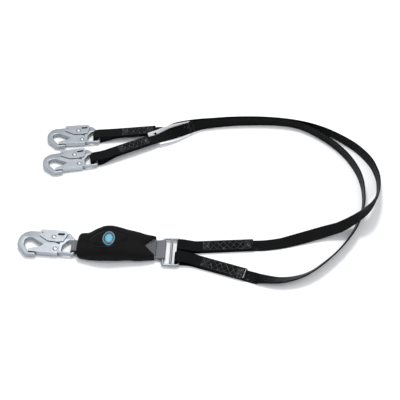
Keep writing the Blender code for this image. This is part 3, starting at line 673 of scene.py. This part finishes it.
def build_eye(name, matrix, shift, inner, level):
    """A leg's sewn eye: the strap round the bar, its end folded under on top, and the sewing."""
    length, degrees, start, height, run, slack, reach = EYES[name]
    angle = math.radians(degrees)
    spot = Vector((shift[0], shift[1], 0.0))
    base = height - level

    def warp(point):
        flat = bend_point(point.x, point.y, angle, start)
        return matrix @ (spot + Vector((flat.x, flat.y, point.z)))

    low, top = base + LEG_THICK / 2, base + EYE_SHEET - LEG_THICK / 2
    path = loop_path(inner, LEG_THICK, low, top, run, length + 0.4 * MM, length, slack, reach)
    fold = []
    middle = base + EYE_SHEET / 2
    drop = (top - middle) / 2
    for k in range(1, 8):
        turn = math.radians(90 - 180 * k / 8)
        fold.append(Vector((length + drop * math.cos(turn), 0.0, top - drop + drop * math.sin(turn))))
    fold += [Vector((length - 4 * MM * k, 0.0, middle)) for k in range(9)]
    fold += [Vector((run + SEWING_AFTER_LOOP, 0.0, middle))]
    mesh = sweep(path_frames(path + fold, lambda p: LEG_WIDTH / 2), LEG_THICK * 0.99, 8, warp)
    make(name + "_eye_web", mesh, BLACK_WEB, "legs", [name + "_eye"])

    def surface(flat, up):
        return warp(Vector((flat.x, flat.y, base + EYE_SHEET + up)))

    lines = sewn_lines(run + SEWING_AFTER_LOOP, length - SEWING_BEFORE_END, LEG_WIDTH / 2 - SEWING_EDGE)
    mesh = stitches(lines, 3.6 * MM, 0.3, 1.2 * MM, 0.55 * MM, surface)
    # Painted highlight: a thin white bead along leg B's sealed end stands for the glint on that edge.
    if name == SEALED_EYE:
        edge = LEG_WIDTH / 2 - 0.8 * MM
        rim = [[(length - 0.6 * MM, -edge), (length - 0.6 * MM, edge)]]
        end_glint = stitches(rim, 13 * MM, 0.02, 0.7 * MM, 0.4 * MM, surface)
        make("leg_b_end_highlight", end_glint, LABEL, "legs", ())
    make(name + "_sewing", mesh, THREAD, "legs", [name + "_stitching"])


def eye_end(name, matrix, shift):
    """Points (x, y) of the bench at and past the end of an eye, which the strap sets out from."""
    length, degrees, start = EYES[name][:3]
    spot = Vector((shift[0], shift[1], 0.0))
    angle = math.radians(degrees)
    ends = [bend_point(length + past, 0.0, angle, start).to_3d() for past in STRAP_STARTS]
    return [(matrix @ (spot + end)).xy for end in ends]


# ---------------------------------------------------------------- legs


LEG_SAMPLES = 340
ROLL_SCALE = MM * MM
LABEL_SPAN = (0.90, 0.985)
LABEL_LOW = -14.6 * MM
LABEL_HIGH = 18.5 * MM
LABEL_THICK = 0.5 * MM
LABEL_BELOW = 2.2 * MM
FLAP_TILT = math.radians(68)
FLAP_HALF = 6.0 * MM
FLAP_CLEAR = 0.7 * MM


def leg_line(start, route, end, height, samples):
    """Samples (place, roll) along a leg, resting on the bench unless it is lifted."""
    rows = [(x, y, 0.0, 0.0) for x, y in start]
    rows += route
    for (x, y), share in zip(reversed(end), (1.0, 0.6, 0.0)):
        roll = TIP_ROLL * share
        rows.append((x, y, roll, height - LEG_WIDTH / 2 * math.sin(math.radians(abs(roll)))))
    line = catmull([Vector((x, y, roll * ROLL_SCALE, lift)) for x, y, roll, lift in rows], samples)
    points = []
    for x, y, small_roll, lift in line:
        roll = math.radians(small_roll / ROLL_SCALE)
        rest = LEG_WIDTH / 2 * abs(math.sin(roll)) + LEG_THICK / 2 * abs(math.cos(roll))
        points.append((Vector((x, y, rest + REST + max(0.0, lift))), roll))
    return points


def rolled_frames(points, half, low=None, offset=0.0):
    """Frames along (place, roll) samples; low and half are the two edges if low is given."""
    frames = []
    along = 0.0
    middle = (half + low) / 2 if low is not None else 0.0
    wide = (half - low) / 2 if low is not None else half
    for index, (point, roll) in enumerate(points):
        before = points[max(0, index - 1)][0]
        after = points[min(len(points) - 1, index + 1)][0]
        ahead = (after - before).normalized()
        if index:
            along += (point - points[index - 1][0]).length
        flat = Vector((-ahead.y, ahead.x, 0.0)).normalized()
        upward = ahead.cross(flat)
        left = flat * math.cos(roll) + upward * math.sin(roll)
        normal = upward * math.cos(roll) - flat * math.sin(roll)
        frames.append((point + left * middle + normal * offset, left, normal, wide, along))
    return frames


def flap_frames(points):
    """The label's far edge, which stands up past the strap's selvedge."""
    frames = []
    for point, left, normal, half, along in rolled_frames(points, LEG_WIDTH / 2):
        hinge = point - left * (half + FLAP_CLEAR) - normal * LABEL_BELOW
        tilted = left * math.cos(FLAP_TILT) - normal * math.sin(FLAP_TILT)
        upright = normal * math.cos(FLAP_TILT) + left * math.sin(FLAP_TILT)
        frames.append((hinge - tilted * FLAP_HALF, tilted, upright, FLAP_HALF, along))
    return frames


def build_label(points):
    """The white label: a strip under the strap that shows past both selvedges, one edge standing up."""
    first, last = (int(share * LEG_SAMPLES) for share in LABEL_SPAN)
    strip = sweep(rolled_frames(points[first:last], LABEL_HIGH, LABEL_LOW, -LABEL_BELOW), LABEL_THICK, 8)
    flap = sweep(flap_frames(points[first:-1]), LABEL_THICK, 8)
    return make("leg_b_blank_label", joined([strip, flap]), LABEL, "legs", ["leg_b_label"])


def build_leg(leg, offset, hook, route):
    """A leg with both its sewn eyes and the strap between them."""
    shift = (RING_LEFT_BAR + 2 * RING_SPACING, RING_SIDE + offset)
    build_eye(leg + "_ring", RING_FRAME, shift, RING_LOOP_INNER, RING_AXIS_Z)
    build_eye(leg + "_hook", HOOK_FRAMES[hook], (0, 0), HOOK_LOOP_INNER, HOOK_AXIS_Z)
    start = eye_end(leg + "_ring", RING_FRAME, shift)
    end = eye_end(leg + "_hook", HOOK_FRAMES[hook], (0, 0))
    points = leg_line(start, route, end, EYES[leg + "_hook"][3], LEG_SAMPLES)
    mesh = sweep(rolled_frames(points, LEG_WIDTH / 2), LEG_THICK, 10)
    strap = make(leg + "_web", mesh, BLACK_WEB, "legs", [leg + "_strap"])
    extra = [build_label(points)] if leg == "leg_b" else []


build_leg("leg_a", LEG_OFFSETS[0], "hook_2", LEG_A_ROUTE)
build_leg("leg_b", LEG_OFFSETS[1], "hook_3", LEG_B_ROUTE)

# ---------------------------------------------------------------- absorber

COVER_SHAPE = 3.2
COVER_FLAT = 0.8 * MM
COVER_WALL = 1.6 * MM
MOUTH_SLANT = 12 * MM
MOUTH_RUN = 30 * MM
NOTCH_START = 135 * MM
NOTCH_DEPTH = 22 * MM
NOTCH_HALF = 24 * MM
COVER_STATIONS = [
    (6.0, 29.5, 20.0, 2.5), (9.0, 30.5, 22.5, 2.5), (14.0, 31.0, 24.0, 2.2),
    (28.0, 32.0, 27.5, 1.5), (45.0, 36.5, 35.0, 3.5), (62.0, 39.2, 41.0, 5.3),
    (78.0, 39.3, 42.0, 5.5), (96.0, 37.0, 39.0, 4.8), (115.0, 34.7, 34.0, 4.4),
    (135.0, 33.0, 30.0, 3.4), (150.0, 30.5, 26.5, 2.8), (162.0, 29.0, 23.5, 3.6),
    (168.0, 28.5, 21.0, 4.0),
]
LENS_TIPS = (Vector((27.0, 3.0)) * MM, Vector((113.0, 8.0)) * MM)
LENS_LOW = 28.0 * MM
LENS_HIGH = 19.0 * MM
LENS_RISE = 3.4 * MM
SEAM_DEPTH = 1.8 * MM
COVER_RINGS = 120
COVER_SIDES = 112
WEAVE_STEP = 1.75 * MM
LIP_INSETS = (0.5 * MM, 1.1 * MM)
BADGE_CENTRE = (75.0 * MM, -1.5 * MM)
BADGE_BASE = (13.2 * MM, 18.0 * MM)
BADGE_FIELD = (7.6 * MM, 10.2 * MM)
BADGE_RING = (11.4 * MM, 15.6 * MM)


def cover_size(x):
    """Half width, height and sideways centre of the cover, smoothly between its stations."""
    rows = [Vector(row) * MM for row in COVER_STATIONS]
    for index in range(len(rows) - 1):
        if x <= rows[index + 1][0]:
            break
    a, b = rows[index], rows[index + 1]
    before = rows[max(0, index - 1)]
    after = rows[min(len(rows) - 1, index + 2)]
    span = b[0] - a[0]
    t = min(1.0, max(0.0, (x - a[0]) / span))
    sizes = []
    for k in (1, 2, 3):
        slope_a = (b[k] - before[k]) / (b[0] - before[0]) if index else (b[k] - a[k]) / span
        slope_b = (after[k] - a[k]) / (after[0] - a[0])
        sizes.append((2 * t ** 3 - 3 * t * t + 1) * a[k] + (t ** 3 - 2 * t * t + t) * span * slope_a
                     + (3 * t * t - 2 * t ** 3) * b[k] + (t ** 3 - t * t) * span * slope_b)
    return sizes


def lens_depth(x, y):
    """Distance inside the lens panel's outline, negative outside it, and along its long axis."""
    a, b = LENS_TIPS
    axis = (b - a).normalized()
    middle = (a + b) / 2
    offset = Vector((x, y)) - middle
    along = offset.dot(axis)
    across = offset.x * -axis.y + offset.y * axis.x
    half = (b - a).length / 2
    reach = LENS_HIGH if across > 0 else LENS_LOW
    share = max(0.0, 1 - (along / half) ** 2)
    edge = reach * share ** 0.85
    return edge - abs(across), along, across


def cover_relief(x, y):
    """How far the cover's top stands proud or dips at a place: panel and seams."""
    depth, along, across = lens_depth(x, y)
    rise = LENS_RISE * smooth_step(depth / (9 * MM)) if depth > 0 else 0.0
    seam = math.exp(-(depth / (1.3 * MM)) ** 2) * SEAM_DEPTH
    half = (LENS_TIPS[1] - LENS_TIPS[0]).length / 2
    tail = abs(along) - half
    if tail > 0:
        line = across + (0.10 * tail if along < 0 else 0.05 * tail)
        seam = max(seam if depth > -2 * MM else 0.0,
                   math.exp(-(line / (1.5 * MM)) ** 2) * SEAM_DEPTH * (1 - 0.3 * tail / (30 * MM)))
    return rise - seam


def cover_point(x, turn, inset=0.0):
    """A point of the cover's skin at a distance along it and a turn round it."""
    half, height, centre = cover_size(x)
    c, s = math.cos(turn), math.sin(turn)
    across = math.copysign(abs(c) ** (2 / COVER_SHAPE), c)
    rise = math.copysign(abs(s) ** (2 / COVER_SHAPE), s)
    start, end = COVER_STATIONS[0][0] * MM, COVER_STATIONS[-1][0] * MM
    y = across * (half - inset)
    z = height / 2 + rise * (height / 2 - inset) - COVER_FLAT
    notch = NOTCH_DEPTH * max(0.0, 1 - abs(across * half) / NOTCH_HALF)
    pull = max(0.0, (x - NOTCH_START) / (end - NOTCH_START))
    push = max(0.0, 1 - (x - start) / MOUTH_RUN) * (1 - z / height)
    px = x - notch * pull + MOUTH_SLANT * push
    if rise > 0.2 and not inset:
        top = smooth_step((rise - 0.2) / 0.5)
        z += cover_relief(px, y + centre) * top
        fold = noise.noise(Vector((px * 60, y * 90, 1.7))) * 0.7 * MM
        z += fold * top
    elif not inset:
        y *= 1 + 0.02 * noise.noise(Vector((px * 50, z * 60, 4.1)))
    return Vector((px, y + centre, max(0.1 * MM, z)))


def build_cover():
    """An open padded sleeve, doubled back on itself at both mouths."""
    shape = bmesh.new()
    weave = shape.loops.layers.uv.new("weave")
    start, end = COVER_STATIONS[0][0] * MM, COVER_STATIONS[-1][0] * MM
    stations = [(start + (end - start) * k / COVER_RINGS, 0.0) for k in range(COVER_RINGS + 1)]
    lip = [(end, inset) for inset in LIP_INSETS]
    inner = [(end + (start - end) * k / 40, COVER_WALL) for k in range(41)]
    lip_back = [(start, inset) for inset in reversed(LIP_INSETS)]
    rings = []
    spots = {}
    for x, inset in stations + lip + inner + lip_back:
        ring = []
        for k in range(COVER_SIDES):
            turn = 2 * math.pi * k / COVER_SIDES
            point = cover_point(x, turn, inset)
            if inset:
                point.z = max(point.z, inset)
            if inset in LIP_INSETS:
                point.x += 0.35 * MM if x == end else -0.35 * MM
            vertex = shape.verts.new(PACK_FRAME @ point)
            spots[vertex] = (k * WEAVE_STEP, x)
            ring.append(vertex)
        rings.append(ring)
    for low, high in zip(rings, rings[1:] + rings[:1]):
        for k in range(COVER_SIDES):
            m = (k + 1) % COVER_SIDES
            face = shape.faces.new((low[k], high[k], high[m], low[m]))
            for loop in face.loops:
                u, v = spots[loop.vert]
                if m == 0 and loop.vert in (low[0], high[0]):
                    u = COVER_SIDES * WEAVE_STEP
                loop[weave].uv = (u, v)
    cover = make("cover_padded", mesh_of(shape), COVER, "absorber",
                 ["absorber_cover", "cover_panel"], 60.0)


def on_cover(x, y, up):
    """A world point at a height above the cover's top."""
    half, height, centre = cover_size(x)
    across = min(0.97, abs((y - centre) / half))
    z = height / 2 * (1 + (1 - across ** COVER_SHAPE) ** (1 / COVER_SHAPE)) - COVER_FLAT
    z += cover_relief(x, y)
    return PACK_FRAME @ Vector((x, y, z + up))


def build_seams():
    """A row of small stitches inside each long edge of the lens panel."""
    a, b = LENS_TIPS
    axis = (b - a).normalized()
    side = Vector((-axis.y, axis.x))
    half = (b - a).length / 2
    lines = []
    for reach in (LENS_HIGH - 2.4 * MM, -(LENS_LOW - 2.4 * MM)):
        line = []
        for k in range(31):
            t = -0.93 + 1.86 * k / 30
            spot = (a + b) / 2 + axis * half * t + side * reach * max(0.0, 1 - t * t) ** 0.85
            line.append(tuple(spot))
        lines.append(line)
    mesh = stitches(lines, 2.8 * MM, 0.35, 0.7 * MM, 0.35 * MM,
                    lambda flat, up: on_cover(flat.x, flat.y, up + 0.1 * MM))
    make("cover_stitching", mesh, SEAM, "absorber", ())


def lens_disc(centre, half, rows, columns, height):
    """A low oval disc laid on the cover, with height as a function of the share from its middle."""
    shape = bmesh.new()
    layers = []
    for lifted in (False, True):
        layer = []
        for i in range(rows + 1):
            share = i / rows
            for k in range(columns):
                turn = 2 * math.pi * k / columns
                x = centre[0] + math.cos(turn) * half[0] * share
                y = centre[1] + math.sin(turn) * half[1] * share
                layer.append(shape.verts.new(on_cover(x, y, height(share) if lifted else 0.15 * MM)))
        layers.append(layer)
    for layer in layers:
        for i in range(rows):
            for k in range(columns):
                m = (k + 1) % columns
                shape.faces.new([layer[i * columns + k], layer[(i + 1) * columns + k],
                                 layer[(i + 1) * columns + m], layer[i * columns + m]])
    rim = rows * columns
    for k in range(columns):
        m = (k + 1) % columns
        shape.faces.new([layers[0][rim + k], layers[0][rim + m],
                         layers[1][rim + m], layers[1][rim + k]])
    bmesh.ops.remove_doubles(shape, verts=shape.verts, dist=1e-6)
    return mesh_of(shape)


def build_badge():
    """A plain moulded oval: a blue ring near its rim and a blue field in the middle."""
    def dome(share):
        return (0.5 + 0.9 * smooth_step((1.0 - share) / 0.10)) * MM

    mesh = lens_disc(BADGE_CENTRE, BADGE_BASE, 20, 48, dome)
    make("badge_base", mesh, BADGE_BLACK, "absorber", ["cover_badge"])
    mesh = lens_disc(BADGE_CENTRE, BADGE_FIELD, 12, 40,
                     lambda share: (1.5 + 0.6 * smooth_step((1.0 - share) / 0.25)) * MM)
    make("badge_field", mesh, BADGE_BLUE, "absorber", ())
    ring = []
    for k in range(64):
        turn = 2 * math.pi * k / 64
        x = BADGE_CENTRE[0] + BADGE_RING[0] * math.cos(turn)
        y = BADGE_CENTRE[1] + BADGE_RING[1] * math.sin(turn)
        ring.append(tuple(on_cover(x, y, 1.3 * MM)))
    make("badge_ring", tube(ring, 0.75 * MM, True), BADGE_BLUE, "absorber", ())


def build_tear_loops():
    """The grey tear webbing where it leaves the cover at both ends, and the sewing at the ring."""
    half = 27.5 * MM / 2

    def hook_half(point):
        return half + 7.25 * MM * smooth_step((point.x - 4 * MM) / (18 * MM))

    def hook_warp(point):
        move = 3 * MM * smooth_step((point.x - 4 * MM) / (18 * MM))
        return PACK_FRAME @ Vector((point.x, point.y + move, point.z + HOOK_AXIS_Z))

    base = 5 * MM - HOOK_AXIS_Z
    low, high = base + TEAR_THICK / 2, base + 1.5 * TEAR_THICK + PLY_GAP
    path = loop_path(HOOK_LOOP_INNER, TEAR_THICK, low, high, 24 * MM, 38 * MM, 38 * MM, 2 * MM)
    mesh = sweep(path_frames(path, hook_half), TEAR_THICK, 10, hook_warp)
    make("tear_web_hook_end", mesh, GREY_WEB, "absorber", ["tear_webbing_hook_loop"])

    start, reach, rise = 14 * MM, 56 * MM, 10.5 * MM

    def lift(x):
        return rise * math.sin(math.pi / 2 * max(0.0, (x - start) / (reach - start)))

    def ring_warp(point):
        return PACK_FRAME @ Vector((RING_LEFT_BAR - point.x, 2.5 * MM + point.y, point.z + RING_AXIS_Z))

    base = 4.5 * MM - RING_AXIS_Z
    low, high = base + TEAR_THICK / 2, base + 1.5 * TEAR_THICK + PLY_GAP
    path = loop_path(RING_LOOP_INNER, TEAR_THICK, low, high, start, reach, reach, rise=lift)
    mesh = sweep(path_frames(path, lambda p: 24 * MM), TEAR_THICK, 12, ring_warp)
    make("tear_web_ring_end", mesh, GREY_WEB, "absorber", ["tear_webbing_ring_loop"])

    def surface(flat, up):
        top = base + 2 * TEAR_THICK + PLY_GAP + lift(flat.x)
        return ring_warp(Vector((flat.x, flat.y, top + up)))

    lines = []
    for k in range(5):
        y = (k - 2) * 8 * MM
        for flip in (1, -1):
            row = zigzag(15 * MM, 36 * MM, 3.4 * MM, 4, flip)
            lines.append([(x, y + side) for x, side in row])
    lines += [[(x, -19 * MM), (x, 19 * MM)] for x in (36.5 * MM, 14.5 * MM)]
    mesh = stitches(lines, 3.0 * MM, 0.3, 1.9 * MM, 0.8 * MM, surface)
    make("tear_web_sewing", mesh, DARK_THREAD, "absorber", ())


build_cover()
build_seams()
build_badge()
build_tear_loops()

# ---------------------------------------------------------------- connector ring


def build_ring():
    """A welded wire ring with a bar across its middle and small weld beads."""
    x0 = RING_LEFT_BAR / MM
    x1 = x0 + 2 * RING_SPACING / MM
    half = RING_INNER / 2 + RING_ROD
    corners = [(x0, -half / MM, 5.0), (x1, -half / MM, 5.0), (x1, half / MM, 5.0), (x0, half / MM, 5.0)]
    loop = [(x, y + RING_SIDE, 0.0) for x, y in rounded(corners, 9.0)]
    middle = RING_LEFT_BAR + RING_SPACING
    parts = [tube(loop, RING_ROD, True, 6)]
    bar = [(middle, RING_SIDE + half * k / 10, 0.0) for k in range(-10, 11)]
    parts.append(tube(bar, RING_ROD * 0.9, False, 6))
    for side in (-1, 1):
        bead = turned([(0.0, 1.6 * MM), (2.0 * MM, 1.3 * MM), (3.1 * MM, 0.5 * MM), (3.3 * MM, 0.0),
                       (3.1 * MM, -0.5 * MM), (2.0 * MM, -1.3 * MM), (0.0, -1.6 * MM)], 24)
        turn = Matrix.Rotation(math.radians(90), 4, "X")
        bead.transform(Matrix.Translation((middle, RING_SIDE + side * (half - 2.2 * MM), 0.0)) @ turn)
        parts.append(bead)
    mesh = joined(parts)
    mesh.transform(RING_FRAME)
    make("ring_welded", mesh, BRIGHT_STEEL, "ring", ["connector_ring"], 60.0)


build_ring()

# ---------------------------------------------------------------- snap hooks

BODY_OUTLINE = [
    (42.5, -26.5, 2.5), (20.5, -27.0, 10.0), (0.0, -3.0, 14.0), (0.0, 36.0, 25.0), (72.5, 36.0, 2.5),
    (77.0, 25.0, 2.5), (98.0, 25.0, 2.0), (101.0, 35.0, 3.0), (107.0, 33.5, 4.0), (118.0, 19.5, 6.0),
    (124.0, 14.0, 5.0), (124.0, -20.5, 8.0), (92.0, -20.5, 1.0), (90.5, -18.6, 1.0),
    (72.0, -18.6, 8.5), (70.5, -9.0, 4.0), (64.0, -5.6, 3.0), (27.5, 17.6, 7.0), (14.0, 17.6, 7.5),
    (14.0, 0.5, 5.0), (27.0, -20.0, 5.0), (42.5, -20.0, 2.5),
]
EYE_OUTLINE = [
    (95.5, -15.5, 5.0), (116.5, -15.5, 2.5), (116.5, 15.5, 2.5), (106.0, 15.5, 5.0), (95.5, 2.5, 9.0),
]
SLOT_OUTLINE = [(81.5, 5.4, 0.8), (88.6, 3.4, 0.8), (89.6, 7.6, 0.8), (81.5, 7.9, 0.8)]
WINDOW_SHADE_OUTLINE = [(78.5, 25.4, 1.0), (97.0, 25.4, 1.0), (97.4, 33.6, 1.5), (78.5, 34.2, 1.0)]
BODY_HALF = 4.0 * MM
BODY_EDGE = 2.2 * MM
GATE_OUTER = 5.35 * MM
LOCK_OUTER = 6.6 * MM


def hook_place(mesh, hook):
    """Moves a mesh from the outline's frame to its hook."""
    shift = Matrix.Translation((BAR_BACK - HOOK_LENGTH, 0.0, 0.0))
    mesh.transform(HOOK_FRAMES[hook] @ shift)
    return mesh


def rivet(reach):
    """A shaft with a domed, slightly dimpled head outside each cheek."""
    half = [(0.0, 0.55), (0.9, 0.5), (1.5, 0.78), (2.6, 0.7), (3.5, 0.42), (4.0, 0.05), (3.9, 0.0)]
    top = [(r * MM, reach + 0.15 * MM + z * MM) for r, z in half]
    profile = top + [(2.5 * MM, reach + 0.1 * MM)]
    return turned(profile + [(r, -z) for r, z in reversed(profile)])


def pin_shadow_ring(reach):
    """A painted shadow: a dark ring round a rivet's head, on both cheeks."""
    outline = [(4.0, 0.12), (4.0, 0.34), (4.8, 0.30), (5.1, 0.12), (4.0, 0.12)]
    ring = [(r * MM, reach + z * MM) for r, z in outline]
    return joined([turned(ring), turned([(r, -z) for r, z in reversed(ring)])])


def build_hook(hook):
    """The hook's forging, black plates of painted shade in its lock window and in the slot beside the
    gate's spring, and both rivets with a painted shadow ring round each.
    """
    body = hook_place(plate([rounded(BODY_OUTLINE), rounded(EYE_OUTLINE)], 2 * BODY_HALF, BODY_EDGE, 4),
                      hook)
    make(hook + "_forging", body, HOOK_STEEL, hook, [hook + "_body"], 50.0)
    # Painted shade: a black plate fills the lock window, standing for the shade in the notch behind it.
    window_shade = hook_place(plate([rounded(WINDOW_SHADE_OUTLINE)], 9.0 * MM, 0.5 * MM), hook)
    make(hook + "_insert", window_shade, SHADE_BLACK, hook, ())
    # Painted shade: a black plate fills the slot beside the gate's spring, standing for the shade inside
    # it.
    slot = hook_place(plate([rounded(SLOT_OUTLINE)], 8.3 * MM, 0.3 * MM), hook)
    make(hook + "_spring_slot", slot, SHADE_BLACK, hook, ())
    for label, pivot, reach in (("gate", GATE_PIVOT, GATE_OUTER), ("lock", LOCK_PIVOT, LOCK_OUTER)):
        mesh = rivet(reach)
        mesh.transform(Matrix.Translation((*pivot, 0.0)))
        make(f"{hook}_{label}_pin", hook_place(mesh, hook), RIVET_STEEL, hook,
             [f"{hook}_{label}_rivet"])
        # Painted shadow: a dark ring round each rivet's head.
        rivet_shadow = pin_shadow_ring(reach)
        rivet_shadow.transform(Matrix.Translation((*pivot, 0.0)))
        make(f"{hook}_{label}_pin_shadow_ring", hook_place(rivet_shadow, hook), SHADE_BLACK, hook, ())


def paint(node, material):
    """A CAD node that keeps its shape gets its material."""
    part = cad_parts[node]
    part.data.materials.clear()
    part.data.materials.append(material)
    return part


def dress(node, material, width):
    """A CAD node that keeps its shape gets its material and softened edges."""
    part = paint(node, material)
    edge = part.modifiers.new("soft_edges", "BEVEL")
    edge.width = width
    edge.segments = 2
    edge.limit_method = "ANGLE"
    edge.angle_limit = math.radians(40)
    edge.harden_normals = True


for hook in HOOKS:
    build_hook(hook)
    dress(hook + "_gate", LEVER_STEEL, 0.35 * MM)
    dress(hook + "_lock_lever", LEVER_STEEL, 0.3 * MM)
    for spring in ("_gate_spring", "_lock_spring"):
        paint(hook + spring, SPRING_STEEL)
paint("tear_webbing_core", GREY_WEB)

# ---------------------------------------------------------------- bench and light


SCENE_MIDDLE = (0.15, 0.0, 0.0)


def build_stage():
    """A plain pale bench, a hair below the object's lowest faces."""
    shape = bmesh.new()
    bmesh.ops.create_grid(shape, x_segments=1, y_segments=1, size=4.0)
    mesh = bpy.data.meshes.new("bench")
    shape.to_mesh(mesh)
    shape.free()
    bench = bpy.data.objects.new("bench", mesh)
    bpy.context.scene.collection.objects.link(bench)
    bench.location = (0.15, 0.0, -0.0004)
    s = Shader("bench_paper", (0.93, 0.93, 0.94), 0.9)
    mesh.materials.append(s.done(s.mix(s.noise(6.0), (0.92, 0.92, 0.93), (0.94, 0.94, 0.95))))


def add_light(name, place_at, size, power):
    """A square softbox aimed at the middle of the bench."""
    data = bpy.data.lights.new(name, "AREA")
    data.shape = "SQUARE"
    data.size = size
    data.energy = power
    light = bpy.data.objects.new(name, data)
    bpy.context.scene.collection.objects.link(light)
    light.location = place_at
    light.rotation_euler = (Vector(SCENE_MIDDLE) - Vector(place_at)).to_track_quat("-Z", "Y").to_euler()


build_stage()
world = bpy.data.worlds.new("studio")
bpy.context.scene.world = world
world.use_nodes = True
world.node_tree.nodes["Background"].inputs["Color"].default_value = (0.96, 0.98, 1.0, 1.0)
world.node_tree.nodes["Background"].inputs["Strength"].default_value = 0.85
add_light("key", (0.0, 0.66, 2.05), 0.55, 25.0)
add_light("fill", (1.2, -0.8, 1.5), 1.6, 7.0)
bpy.context.scene.view_settings.view_transform = "Standard"
